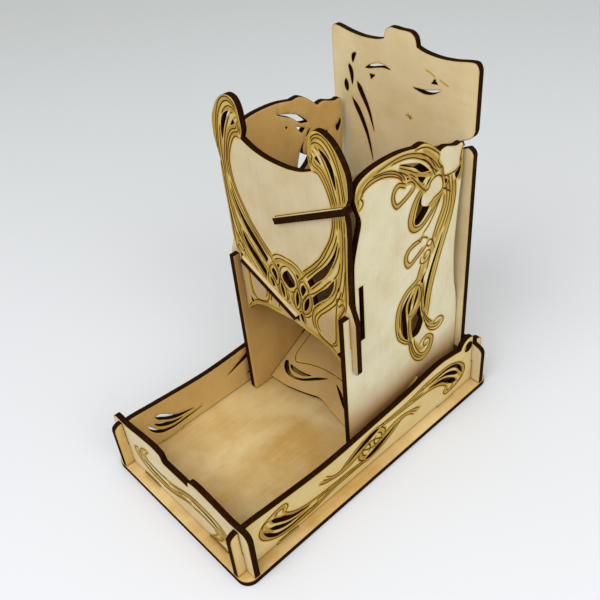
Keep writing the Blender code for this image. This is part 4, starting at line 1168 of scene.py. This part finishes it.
SIDE_LINES: Paths = (
    # The arch under the top edge, with the hook at its foot
    (
        (4.2, 152.2), (3.4, 149.6), (3.6, 147), (5.4, 145.6), (7.4, 146.6), (7.9, 148.6), (6.7, 150.6),
        (7.6, 152), (9.6, 153.4), (13.5, 154.3), (17.5, 154.3), (21.6, 153.4), (25.1, 152),
        (28.7, 149.9), (30.7, 147.9), (31.6, 146.1),
    ),
    (
        (7.7, 151.2), (8.1, 153.2), (9.8, 155), (12.6, 156), (16.2, 155.9), (20.2, 155.2), (24, 153.8),
        (27.4, 152), (30.2, 149.6), (31.8, 147.4),
    ),
    (
        (16, 157.7), (20, 158.3), (25, 158.8), (29, 158.8), (33, 158.3), (37, 157.2), (41, 155.6),
        (44.6, 153.8), (47.8, 151.2), (50.4, 147.8), (52.8, 144),
    ),
    ((5.6, 148.4), (5.2, 149.6), (6, 150.4)),
    (
        (13.6, 157), (17.5, 156.5), (21.6, 155.8), (25.1, 154.6), (28.1, 152.8), (30.4, 150.8),
        (32.2, 148.5), (33, 146.4),
    ),
    (
        (24.9, 157.3), (28.1, 157.2), (32.7, 156.6), (37.4, 155.2), (40.9, 153.4), (44.4, 151.1),
        (47.4, 148.5), (49.7, 145.5), (51.5, 142.6), (52.6, 140.3),
    ),
    (
        (39, 157.4), (42.1, 157.4), (45.6, 156.5), (48.5, 154.9), (51.5, 152.5), (53.8, 150.5),
        (55.3, 148.6),
    ),
    ((43.3, 154.1), (46.8, 152), (49.7, 149.6), (52, 147), (53.8, 144.7), (55.4, 142.4)),
    ((42.8, 152.4), (46.2, 150.2), (48.8, 147.6), (51, 144.6), (52.9, 142.6), (54.6, 141.6)),
    (
        (29.5, 154), (32.7, 152), (36.3, 149.7), (39.8, 147.2), (43.5, 145.4), (46.8, 144.2),
        (49.7, 142.8),
    ),
    (
        (28.7, 152.5), (31.6, 150.6), (34.9, 147.9), (38, 145.3), (40.4, 142.4), (42.7, 139.5),
        (45, 136.8), (46.8, 135.4),
    ),
    ((35.9, 148.4), (38.8, 145.8), (41.1, 143.2), (43.4, 140.7), (45.3, 139)),
    ((50.6, 141.8), (49.2, 140.2), (47.6, 138), (46.6, 136.6)),
    # The upper heart
    (
        (33.6, 144.7), (29.2, 147), (26.3, 145.9), (24.9, 142.9), (25.1, 139.4), (26.9, 136.2),
        (28.7, 135.3), (32.7, 136.5), (36.3, 138), (39.2, 140), (38.9, 142.4), (36.8, 144.4),
        (34.5, 144.7),
    ),
    (
        (33.2, 143), (29.6, 145), (27.6, 144.2), (26.5, 142.2), (26.8, 139.6), (28.2, 137.4),
        (31.6, 138), (35.4, 139.6), (37.2, 141),
    ),
    # The loop that hangs under the knot
    (
        (43.3, 137.7), (39.8, 134.8), (36.8, 130.1), (35.4, 125.4), (36.3, 120.7), (39.2, 117.8),
        (43.3, 117.2), (48.5, 119.6), (52.6, 123.1), (56.1, 126.6), (58.5, 128.9),
    ),
    (
        (44.4, 136.5), (41.5, 133), (39.2, 127.7), (38.4, 123.1), (40, 120), (43.9, 119.3),
        (48.5, 121.9), (51.6, 124.4),
    ),
    # The two petals and the ring between them
    (
        (54.9, 148.2), (54.7, 145.5), (56.6, 143.2), (57.8, 141.6), (58, 139.3), (58.9, 137.4),
        (61.6, 136.4), (64.7, 136.2), (67.4, 136.4), (69.5, 138.2), (69.9, 141.2), (70.6, 144.4),
        (71.2, 146.6),
    ),
    (
        (45.3, 134.9), (43.9, 132.8), (43.6, 130.9), (44.6, 128.6), (47.4, 127.2), (50.1, 127.8),
        (52.8, 129.3), (56.6, 130.3), (58.2, 132), (58, 135.5), (56.6, 138.2), (54.7, 139.4),
        (52, 139.4), (49.7, 138.2), (48.6, 135.9), (46.9, 135.3), (45.3, 134.9),
    ),
    ((58.9, 137), (59.2, 135), (59.4, 132.6), (60.6, 131.6), (62.2, 133), (62.4, 135), (61.2, 136.2)),
    # The strands that run down from the knot
    ((58.2, 131.4), (60.4, 129.8), (62.6, 128), (64.3, 126.6)),
    ((64.3, 135), (65.1, 130), (65.1, 125.5), (64.7, 119.7), (62.9, 114.6), (60.6, 110.4)),
    (
        (66.6, 135.2), (67.3, 130.6), (67.8, 126), (67.4, 120.4), (66, 114.8), (64.3, 109.7),
        (61.8, 103.5), (58.9, 96.6), (56.2, 88.9), (53.5, 80.5), (52, 73.5), (51.2, 67.8), (50.4, 63.6),
    ),
    ((62.4, 134), (63.4, 129), (63.4, 123.6), (62.2, 118), (59.8, 112.8), (57.2, 108.6)),
    ((60.9, 131), (61.6, 125.6), (60.8, 120.4), (58.2, 115), (55.6, 110.6), (54.3, 107.2)),
    (
        (59.5, 127.6), (58.9, 121.9), (56.1, 116.6), (54, 112.2), (52.4, 108.2), (53.2, 104.6),
        (54, 101.6),
    ),
    ((57.5, 128), (52.6, 120.4), (49.3, 116.6), (45.6, 114)),
    ((69.9, 141), (71.6, 138.6), (72, 135), (71, 131)),
    # The lower heart with its tie, ring and curl
    (
        (45.6, 113.1), (43.3, 112), (38.9, 111.9), (34.8, 110.2), (33, 106.9), (33.4, 103.2),
        (35.1, 100.6), (37.4, 100.3), (42.1, 102.6), (46.8, 105), (48.5, 107.3),
    ),
    (
        (44.2, 110.4), (39.4, 110), (36.4, 108.8), (35, 106.2), (35.5, 103.8), (37.2, 102.4),
        (41.2, 104.2), (45.2, 106.4),
    ),
    ((42.2, 112), (43.8, 110.6), (45.2, 111.8), (47.4, 111), (49, 109.4)),
    ((48.5, 107.3), (50.4, 108.2), (52, 107), (51.6, 105.2), (50, 104.8), (48.6, 105.8), (48.5, 107.3)),
    (
        (44.4, 101.2), (43.9, 99), (45.6, 97.2), (48.5, 97.4), (50.6, 99.2), (51, 101.6), (49.2, 103),
        (47.2, 101.8), (46.4, 100.2), (47.6, 99.2), (48.8, 100.2),
    ),
    # The low loop and the spiral in it
    (
        (44.6, 97.4), (43.2, 94), (42.1, 91.2), (40.4, 89.8), (35.1, 88), (30.8, 84.3), (28, 79.3),
        (27.1, 72.2), (27.6, 65.8), (28.8, 61.6), (31, 58.3), (34, 55.2), (36.6, 53.2), (37.2, 49.7),
        (38.5, 45.2), (41.1, 40), (44.3, 36.8), (47.6, 35.5), (52.1, 36.8), (54.7, 40.7), (55.6, 45.2),
        (54, 48.4), (50.8, 50.4), (46.9, 49.7), (44.6, 47.1),
    ),
    (
        (43.2, 88.8), (40.6, 87.2), (36.6, 86.2), (32.6, 83), (30.6, 78.6), (29.9, 74), (29.9, 69.6),
        (30.6, 65.2), (32.2, 61.2), (34.6, 57.9), (37.2, 55.4), (38.8, 52.4), (39.8, 48.6), (41.8, 44),
        (44.6, 40.3), (47.6, 38.4),
    ),
    (
        (28.8, 66.6), (29.8, 62.6), (32, 59.2), (35, 56.2), (37.6, 53.4), (38.4, 49.8), (40, 45),
        (42.6, 40.6), (45.4, 38.2),
    ),
    (
        (40.6, 53.6), (41.4, 49.1), (43.5, 44.6), (45.6, 41.3), (48.4, 39.8), (51.4, 41.2), (53, 44.6),
        (51.8, 47.4), (48.9, 48), (47.9, 46), (48.7, 44), (50.5, 43.8), (51.3, 45.2),
    ),
    # The leaf in the loop, the stems beside it and the hook at their foot
    (
        (41.2, 87), (43.7, 85.8), (45, 82), (45, 77), (43.4, 73.4), (40.4, 70.6), (37.4, 70.4),
        (35.4, 72.4),
    ),
    (
        (43.4, 88.8), (45.2, 87), (45.9, 81), (45.5, 75), (46, 69.4), (47.8, 65), (49.8, 60.6),
        (52.4, 57.2),
    ),
    (
        (48.4, 91.4), (47.2, 86.8), (46.9, 80), (46.9, 73), (47.4, 68.4), (49.4, 63.4), (51.6, 59.8),
        (54.4, 56.6),
    ),
    ((51.4, 101), (50, 96), (48.9, 92)),
    (
        (48, 62.4), (50.1, 56.2), (52.7, 52.3), (56, 50), (59.8, 49.4), (63.2, 51.7), (62.4, 54.9),
        (59.8, 56.5), (56.6, 56.2), (55.4, 54.6), (57.4, 53.4), (59.6, 53.8),
    ),
    ((47, 65), (48.9, 59.4), (51.6, 55), (55, 52.4), (58.4, 51.4), (61, 52.6)),
    ((36.5, 70.4), (36.3, 64.6), (36.9, 58.4), (38.4, 55)),
)
SIDE_TIES: Paths = (
    ((52.6, 142.6), (53.6, 141.2)),
    ((55.6, 143.4), (56.8, 141.8)),
    ((57.2, 139), (57.6, 137)),
    ((59.2, 131), (61.4, 130.2)),
    ((61, 129.2), (63.4, 127.8)),
)
SIDE_SHADES: Paths = (
    # Along the arch
    (
        (5, 147.6), (4.8, 151.6), (7.2, 155.6), (12, 157.6), (20, 158.4), (29, 158.4), (37, 156.6),
        (44, 153), (49.4, 148.6), (53.4, 143.4),
    ),
    ((7.6, 153), (12, 155.4), (18, 155.6), (24, 154), (29, 151.2), (32, 147.8)),
    ((45, 155), (49.6, 151.6), (53.6, 147), (56.2, 142.6), (58.4, 137.2), (60.6, 133.4), (61.4, 128.6)),
    ((30, 153), (35, 149.4), (40.6, 146), (46, 144), (50.6, 142)),
    ((32.4, 150.2), (36.4, 146.4), (40, 142.2), (43.6, 138.6), (46.4, 136)),
    # Along the loop under the knot
    (
        (43.4, 137), (39.6, 132.4), (37.2, 127), (37, 122), (39.4, 118.6), (43.6, 118.2), (48.4, 120.6),
        (52.8, 124.6), (57.2, 129),
    ),
    ((51, 126.2), (54.4, 127.8), (58, 129.6)),
    # Along the strands
    ((62.6, 132), (63.6, 126), (62.6, 120), (60, 113.6), (56.4, 107.4), (52.4, 100.4)),
    (
        (66.2, 131), (66.4, 123), (64.6, 115.4), (61.6, 108.6), (58.4, 101), (55.4, 93), (52.6, 84),
        (50.6, 75), (49.6, 67),
    ),
    ((60.2, 126), (58.6, 119.6), (55, 112.6), (52.6, 106), (50.8, 99.6), (48.8, 94)),
    # Along the stems, the low loop and the hook
    (
        (47, 102), (47, 97), (45.4, 92), (45, 87), (46.4, 80), (46.2, 73), (47.6, 67), (49.6, 61.6),
        (52.4, 56.6), (56.6, 53.4), (60.8, 53.4),
    ),
    (
        (44.4, 95), (41.6, 88.8), (35.6, 86.8), (31, 82.6), (28.8, 77), (28.5, 71), (29.2, 65),
        (31.4, 60.4), (35.2, 56.2), (38, 52.2), (39.4, 47), (42.2, 41.6), (46.4, 38.2), (51, 38.6),
        (53.8, 42.6), (53.2, 46.8), (49.8, 48.8),
    ),
    ((41.6, 50), (44, 46), (46.4, 43.6), (49, 44.6)),
    ((42.6, 86), (44, 79), (42.4, 73.6), (38.6, 71), (36.8, 64.6), (37.4, 57)),
    # Beside the upper petal
    ((70.6, 141), (71.2, 136), (70, 131.6)),
)
SIDE_HEARTS: Paths = (
    (
        (33.8, 144), (29.3, 146.1), (26.4, 144.2), (25.7, 140.6), (27.4, 136.6), (31.4, 136.8),
        (36.4, 139), (38.4, 141), (37.6, 143.2), (35, 144.2),
    ),
    (
        (45, 111.9), (39.4, 111), (35.2, 108.8), (33.9, 105.4), (35, 101.9), (37.6, 101.4), (42, 103.6),
        (47, 106),
    ),
)
SIDE_LEAF: Paths = (
    ((41.4, 86.2), (39.6, 82), (38, 77.6), (36.4, 73.2)),
    ((42.6, 84.6), (41.4, 79.6), (39.6, 75), (38.2, 71.8)),
    ((38.4, 85.8), (36, 81.4), (34.8, 76.6), (34.6, 72.4)),
)


# Half of the front panel's ornament, in mm out from its middle and up its own plane

FRONT_LINES: Paths = (
    # The horn and the stalk that falls from it
    (
        (21.6, 163.4), (20.6, 166.6), (20.6, 171), (22.2, 175), (24.4, 177.3), (27.6, 178.3),
        (31.2, 176.9), (34.5, 172.9), (37, 166.4), (38.6, 158.6), (39.2, 150), (38.8, 142),
    ),
    (
        (22.4, 173.6), (23.6, 175.4), (25.5, 176.5), (27.8, 176.5), (30.4, 175.1), (33, 172.1),
        (35.2, 167.9), (36.8, 162.8), (37.8, 156.9), (38.2, 150), (38.1, 144), (37.9, 138),
    ),
    (
        (22.3, 172.6), (24.2, 174), (26.8, 174.4), (29.4, 173), (32.2, 169.6), (34.5, 164.6),
        (35.8, 159.4), (36.5, 154), (36.8, 148), (36.6, 142), (36.9, 136), (36.4, 127), (35.9, 122),
        (35, 116), (33.8, 110.6), (32.6, 106.6),
    ),
    (
        (24.2, 172.4), (26.4, 170.9), (28.6, 167.4), (31, 162.6), (33, 157), (34.6, 151), (35.4, 145),
        (35.6, 139.5),
    ),
    (
        (22.8, 170.4), (24.2, 169.2), (23.3, 167), (24.3, 164.8), (26.2, 164.2), (28.4, 162.4),
        (30.8, 158.6), (32.4, 154), (33.6, 149), (34.2, 143.6), (34, 139),
    ),
    (
        (21.5, 169.2), (22.6, 167.6), (21.9, 165.4), (23.2, 163.6), (25, 163.2), (27.2, 161.6),
        (29.6, 158), (31.6, 153.4), (32.8, 148.4), (33, 143.6), (32.4, 138.8), (31.2, 133.8), (29, 129),
        (26.9, 124.6), (24.2, 119.8), (21.6, 116.2), (19.1, 112.9), (15.6, 109.2), (12, 105.4),
        (10.2, 103), (7.8, 100.4), (6.4, 98.2),
    ),
    (
        (22.6, 161.2), (25.2, 161), (27.4, 158.6), (29.4, 155), (30.9, 151), (31.7, 147), (31.7, 143),
        (31.2, 138.5), (29.8, 133.5), (27.8, 129), (25.7, 125.2), (22.3, 119.4), (19.7, 116.2),
        (16.9, 112.9), (13.6, 109.6), (10.7, 106.6),
    ),
    # The strands that run down to the medallion and the leg
    (
        (33.6, 136), (32, 131), (29.4, 125.4), (26.4, 120.4), (23, 115.8), (20.4, 112.9), (16.6, 108.6),
        (12.8, 104.4),
    ),
    (
        (34.8, 131), (33.6, 126.4), (31.4, 121), (28.6, 115.8), (25.2, 111), (21.2, 105.8),
        (17.6, 101.6), (15.3, 99),
    ),
    (
        (34.6, 123), (33.6, 118.6), (32.4, 115.6), (30, 112), (27, 109), (23.4, 104.6), (19.4, 100.2),
        (16, 97), (13.6, 95.2),
    ),
    (
        (31.8, 113.4), (30.9, 107.6), (28.9, 103.2), (27, 100.7), (24.5, 97.8), (21.7, 94.9),
        (19.2, 92.2), (17, 89.6), (15.2, 86.6), (14.2, 82.6), (14.4, 79), (15.2, 76.2),
    ),
    (
        (33, 109.4), (31.2, 104.3), (29, 99.8), (25.7, 95.6), (22.5, 91.9), (19.6, 88.6), (17, 85),
        (16.1, 82.2), (16.4, 78.6), (17.6, 75.2), (20.3, 73.4), (26.5, 71.9), (29.7, 74.6),
    ),
    (
        (34.4, 107.6), (32.4, 102.4), (30.2, 98.4), (27, 94.4), (23.8, 90.8), (20.8, 87.6), (18.4, 84),
        (17.6, 81.4), (18, 78.4), (19.2, 76.6),
    ),
    ((37.2, 120), (36.4, 113), (35.3, 107.6), (34.4, 104.4)),
    ((38, 138), (37.7, 128), (37.4, 118), (37.1, 108), (36.8, 101), (36.2, 97.4)),
    (
        (35.4, 103.2), (33.6, 103.2), (31.8, 102.4), (31, 100.6), (31.4, 98.7), (32.7, 98.4),
        (33.4, 99.8), (34.6, 100.8), (35.6, 100), (35.4, 98), (34.4, 96), (33.2, 93.6), (31.8, 91.2),
    ),
    ((30.9, 98), (30.4, 94), (29.9, 90), (29.5, 84), (29.2, 79), (28.6, 75.4), (26.5, 72.8)),
    ((17.4, 74.2), (20.3, 72.6), (26.5, 70.9), (29.4, 68.9), (31.8, 66.2), (33.6, 63.2)),
    # The rings of the medallion and the ties round it
    ((0, 108.9), (4, 108.7), (7.4, 107.6), (10.2, 105.2)),
    ((0, 106.9), (3.4, 106.8), (6.4, 105.8), (8.6, 104)),
    (
        (10.4, 100.7), (12.8, 98.3), (13, 95.8), (10.8, 91.8), (8.8, 89.6), (7, 91.2), (6.7, 94.4),
        (7.2, 97.6), (8.6, 99.8), (10.4, 100.7),
    ),
    (
        (13.6, 94.9), (14.8, 92.6), (14.7, 89), (13.6, 85.6), (11.4, 82.6), (9, 81.2), (7.9, 83),
        (8, 86.4), (9.2, 89.8), (11.2, 93), (13.6, 94.9),
    ),
    (
        (5.6, 95.2), (7.3, 91.6), (7.2, 87.6), (6, 83.4), (4, 81), (2.6, 83.4), (2.5, 87.4),
        (3.2, 91.6), (5.6, 95.2),
    ),
    ((0, 104.2), (2.6, 103.2), (4.8, 100.8), (5.8, 97.6), (5, 93.4), (2.6, 90.8), (0, 89.9)),
    ((5.2, 80.4), (7.2, 81.6), (8.8, 79.6), (9.4, 75.2)),
    ((9.6, 79.6), (11.8, 80.8), (13.6, 83.2)),
    ((1, 88.4), (1.2, 85.6), (2.6, 83)),
)
FRONT_SHADES: Paths = (
    # Along the horn and the stalk
    (
        (21.4, 166), (21.6, 171), (23.6, 174.8), (26.8, 176.8), (30.2, 175.6), (33.4, 172), (36, 166.6),
        (37.6, 160.4), (38.4, 152), (38.2, 143), (38, 130), (37.4, 115), (36.6, 104),
    ),
    (
        (24.4, 172.6), (28.4, 172.6), (32, 168), (34.6, 162), (35.8, 156), (36.2, 149), (36, 142),
        (35.8, 134), (35.2, 124), (34, 115), (32.4, 107.6),
    ),
    ((22.6, 165.6), (25.4, 164.8), (28.4, 163.6), (31, 159.4), (33, 154), (33.8, 148)),
    (
        (23.4, 162.6), (27, 161.6), (29.8, 157.6), (31.6, 152.6), (32.6, 147), (32.6, 141.6),
        (31.6, 136.4), (29.6, 131), (27, 126), (23.4, 120), (18.6, 113.4), (14, 108.4), (10.4, 104.8),
    ),
    # Along the strands and the leg
    ((33.8, 128), (31, 120.6), (26.8, 113.4), (21.8, 107), (17.2, 101.6), (13.8, 98)),
    (
        (33, 114), (31.2, 107.6), (27.6, 101.6), (22.6, 96), (18, 90.6), (15.6, 86), (14.9, 81),
        (15.6, 77),
    ),
    ((34.4, 105), (34.8, 98), (32.4, 93), (30.2, 86), (30, 79), (29.4, 74)),
    ((33.8, 62.4), (30.2, 67.2), (25.4, 70.4), (18, 72.4), (10, 73.4), (8.4, 74.4)),
    # Round the medallion
    ((0, 106), (5, 105), (9.6, 102.2), (12.6, 98.2), (14, 93.6), (13.8, 88), (11.4, 83), (8, 80.6)),
    ((5.8, 99.6), (6.6, 94), (7.4, 88), (6.6, 82.2)),
    ((2.2, 91), (1.4, 86), (3.2, 82.2)),
    # Along the horn's outer edge
    ((30, 178), (34.6, 174.6), (38, 168), (39.8, 161), (40.4, 156), (39.4, 150)),
)


# Marks on the board's inner face, and the leaves of its outer one

BOARD_KNOT: Paths = (
    ((3.6, 149.6), (5, 149.3), (6.4, 149), (7.6, 148.9)),
    ((4.8, 150.6), (5.5, 149.4), (5.9, 148.2)),
    ((6.6, 150.2), (6.1, 149.1), (6.5, 147.9)),
)
BOARD_STREAKS: Paths = (
    ((14.6, 173.6), (17.2, 173), (19.6, 171.8)),
    ((22.4, 171), (27, 169.4)),
)
BOARD_LINES: Paths = (
    ((-36, 148), (-34.6, 160), (-30.4, 168), (-24, 172.6)),
    ((-38, 140), (-37.4, 152), (-33.4, 163), (-29.4, 170.4)),
    ((-29, 161), (-23.4, 153.6), (-18.4, 143.6), (-15.4, 130)),
    ((-32.8, 150), (-25.4, 141), (-19.8, 129), (-16.6, 112)),
    ((-23.4, 167.4), (-16, 169.6), (-9.6, 170.4), (-4, 169)),
    ((6.6, 163.6), (14, 162.6), (20.2, 164), (25.6, 166.6)),
)


# The tower


@dataclass
class TowerShell:
    """Side panels, front panel and back board, with the engraving of their faces."""

    tie_width: float = 0.9
    heart_halo: float = 0.9
    knot_width: float = 0.25
    knot_halo: float = 0.4
    streak_halo: float = 0.45

    def side_lines(self) -> list[Line]:
        """Flowing strands of a side panel, from its top edge down to the low loop and the hook."""
        drawn = lines(SIDE_LINES) + lines(SIDE_TIES, self.tie_width) + shades(SIDE_SHADES)
        return drawn + shades(SIDE_HEARTS, self.heart_halo) + shades(SIDE_LEAF)

    def front_lines(self) -> list[Line]:
        """Horns, stalks and interlaced medallion of the front panel; most lines come in pairs."""
        half = lines(FRONT_LINES) + shades(FRONT_SHADES)
        return half + [line.mirrored() for line in half]

    def board_marks(self) -> list[Line]:
        """A small knot and a streak in the veneer of the board's inner face."""
        knot = lines(BOARD_KNOT, self.knot_width, self.knot_halo)
        return knot + shades(BOARD_STREAKS, self.streak_halo)

    def board_lines(self) -> list[Line]:
        """Leaves of the board's outer face, which is the tray's lid, drawn along its cut-outs."""
        return lines(BOARD_LINES)

    def build(self, frame: dict) -> list[bpy.types.Object]:
        """Builds the panels and the board."""
        side_lines = self.side_lines()
        sheets = (
            ("right_side_panel", "right_side", TO_RIGHT, UPRIGHT_PALE, UPRIGHT_INSIDE_SHADED, side_lines, []),
            ("left_side_panel", "left_side", TO_RIGHT, UPRIGHT_INSIDE_SHADED, UPRIGHT_PALE, [], side_lines),
            ("front_panel", "front", TO_FRONT, FRONT_PALE, UPRIGHT_INSIDE_SHADED, self.front_lines(), []),
            (
                "back_board", "back_board", TO_FRONT, BOARD_PALE, BOARD_PALE,
                self.board_marks(), self.board_lines(),
            ),
        )
        plates = [
            Plate(node, "tower_" + name, facing, UPWARD, *faces_and_lines)
            for node, name, facing, *faces_and_lines in sheets
        ]
        return [plate.build(frame) for plate in plates]


# The ramps


@dataclass
class Ramps:
    """Two sloping ramps and the floor ramp that sends the dice into the tray."""

    slope: float = 29.3
    contour_width: float = 0.5
    contour: Path = (
        (-30.4, 40), (-30.3, 30), (-30.3, 24), (-30, 21), (-28.5, 18.7), (-26.8, 17.8), (-24.5, 18.2),
        (-20, 19.8), (-15, 21.1), (-10, 22), (-5, 22.4), (0, 22.5),
    )

    def floor_lines(self) -> list[Line]:
        """Contour of the floor ramp, drawn from above and carried up its slope.

        A point at y lies as high as the ramp's foot plus the way from it times the slope's
        tangent, and its place up the slope is y times the cosine plus that height times the sine.

        Returns:
            Both halves of the contour.
        """
        lean = math.radians(self.slope)
        low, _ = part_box("floor_ramp")
        foot_y = low.y / MM
        foot_z = low.z / MM + SHEET * math.cos(lean)
        carried = tuple(
            (x, y * math.cos(lean) + (foot_z + (y - foot_y) * math.tan(lean)) * math.sin(lean))
            for x, y in self.contour
        )
        half = Line(carried, self.contour_width, self.contour_width)
        return [half, half.mirrored()]

    def build(self, frame: dict) -> list[bpy.types.Object]:
        """Builds the three ramps."""
        ramps = (
            ("upper_ramp", RAMP_PALE, []),
            ("lower_ramp", RAMP_PALE, []),
            ("floor_ramp", SLOPE_WARM, self.floor_lines()),
        )
        plates = [
            Plate(node, node + "_plate", UPWARD, TO_BACK, face, RAMP_UNDER_SHADED, drawn)
            for node, face, drawn in ramps
        ]
        return [plate.build(frame) for plate in plates]


# The studio


@dataclass(frozen=True)
class Lamp:
    """A square soft lamp that looks at the tower's middle."""

    name: str
    place: Space
    power: float
    size: float = 0.8
    aim: Space = (0.0, 0.0, 0.07)

    def hang(self) -> None:
        """Hangs the lamp in the scene."""
        data = bpy.data.lights.new(self.name, "AREA")
        data.size = self.size
        data.energy = self.power
        made = bpy.data.objects.new(self.name, data)
        made.rotation_euler = (Vector(self.aim) - Vector(self.place)).to_track_quat("-Z", "Y").to_euler()
        made.location = self.place
        bpy.context.scene.collection.objects.link(made)


@dataclass
class Studio:
    """Pale floor, soft lamps and the camera, none of which is part of the object."""

    place: Space = (0.215698, -0.175398, 0.308437)
    azimuth: float = 50.427
    elevation: float = 39.053
    roll: float = -5.956
    lens: float = 45.689
    sensor: float = 36.0
    clip: Point = (0.01, 20.0)
    floor_size: float = 4.0
    # Floor colours near and far: the darker far one is painted shade, the lamps' light falling off away
    # from the camera
    floor_near: Colour = paint(227, 229, 233)
    floor_far: Colour = paint(212, 216, 215)
    fade_scale: float = 1.25
    fade_shift: float = 0.875
    room_light: float = 0.62
    lamps: tuple[Lamp, ...] = (
        Lamp("key_lamp", (0.1, -0.8, 1.1), 8.5),
        Lamp("side_lamp", (0.95, -0.15, 0.75), 5.0),
    )

    def camera(self) -> None:
        """Puts the camera where the photograph was taken from."""
        turn, lift, roll = (math.radians(angle) for angle in (self.azimuth, self.elevation, self.roll))
        back = Vector((math.sin(turn) * math.cos(lift), -math.cos(turn) * math.cos(lift), math.sin(lift)))
        right = (-back).cross(Vector(UPWARD)).normalized()
        up = right.cross(-back)
        tilted = right * math.cos(roll) + up * math.sin(roll)
        upright = up * math.cos(roll) - right * math.sin(roll)
        data = bpy.data.cameras.new("photo_camera")
        data.lens = self.lens
        data.sensor_width = self.sensor
        data.sensor_height = self.sensor
        data.sensor_fit = "HORIZONTAL"
        data.clip_start, data.clip_end = self.clip
        made = bpy.data.objects.new("photo_camera", data)
        turned = Matrix((tilted, upright, back)).transposed().to_4x4()
        made.matrix_world = Matrix.Translation(self.place) @ turned
        bpy.context.scene.collection.objects.link(made)
        bpy.context.scene.camera = made

    def floor(self) -> None:
        """Lays the pale floor under the tower, with painted shade that makes it a little darker away from
        the camera.
        """
        half = self.floor_size / 2
        mesh = bpy.data.meshes.new("studio_floor")
        edges = [(-half, -half, 0.0), (half, -half, 0.0), (half, half, 0.0), (-half, half, 0.0)]
        mesh.from_pydata(edges, [], [(0, 1, 2, 3)])
        shader = Shader("studio_paper")
        sockets = {
            "Vector": shader.place(),
            "Rotation": (0.0, 0.0, math.radians(90.0 - self.azimuth)),
            "Scale": (self.fade_scale,) * 3,
            "Location": (self.fade_shift, 0.0, 0.0),
        }
        along = shader.node("ShaderNodeMapping", None, sockets)
        near = shader.node("ShaderNodeTexGradient", None, {"Vector": along}, 1)
        mesh.materials.append(shader.finish(shader.mix(self.floor_far, self.floor_near, near), 0.9))
        made = bpy.data.objects.new("studio_floor", mesh)
        bpy.context.scene.collection.objects.link(made)

    def sky(self) -> None:
        """Fills the room with even light."""
        world = bpy.data.worlds.new("studio_room")
        world.use_nodes = True
        behind = world.node_tree.nodes["Background"]
        behind.inputs["Color"].default_value = (1.0, 1.0, 1.0, 1.0)
        behind.inputs["Strength"].default_value = self.room_light
        bpy.context.scene.world = world

    def build(self) -> None:
        """Sets up the whole studio."""
        self.camera()
        self.floor()
        self.sky()
        for lamp in self.lamps:
            lamp.hang()
        bpy.context.scene.view_settings.view_transform = "Standard"


def corners(box: tuple) -> list[list[float]]:
    """A box as plain numbers."""
    return [[float(value) for value in corner] for corner in box]


def main() -> None:
    """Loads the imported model, dresses every plate and sets up the studio."""
    logging.basicConfig(level=logging.INFO, format="%(name)s %(message)s")
    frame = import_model()
    pieces = Tray().build(frame) + TowerShell().build(frame) + Ramps().build(frame)
    Studio().build()
    LOG.info("%d plates", len(pieces))


if __name__ == "__main__":
    main()
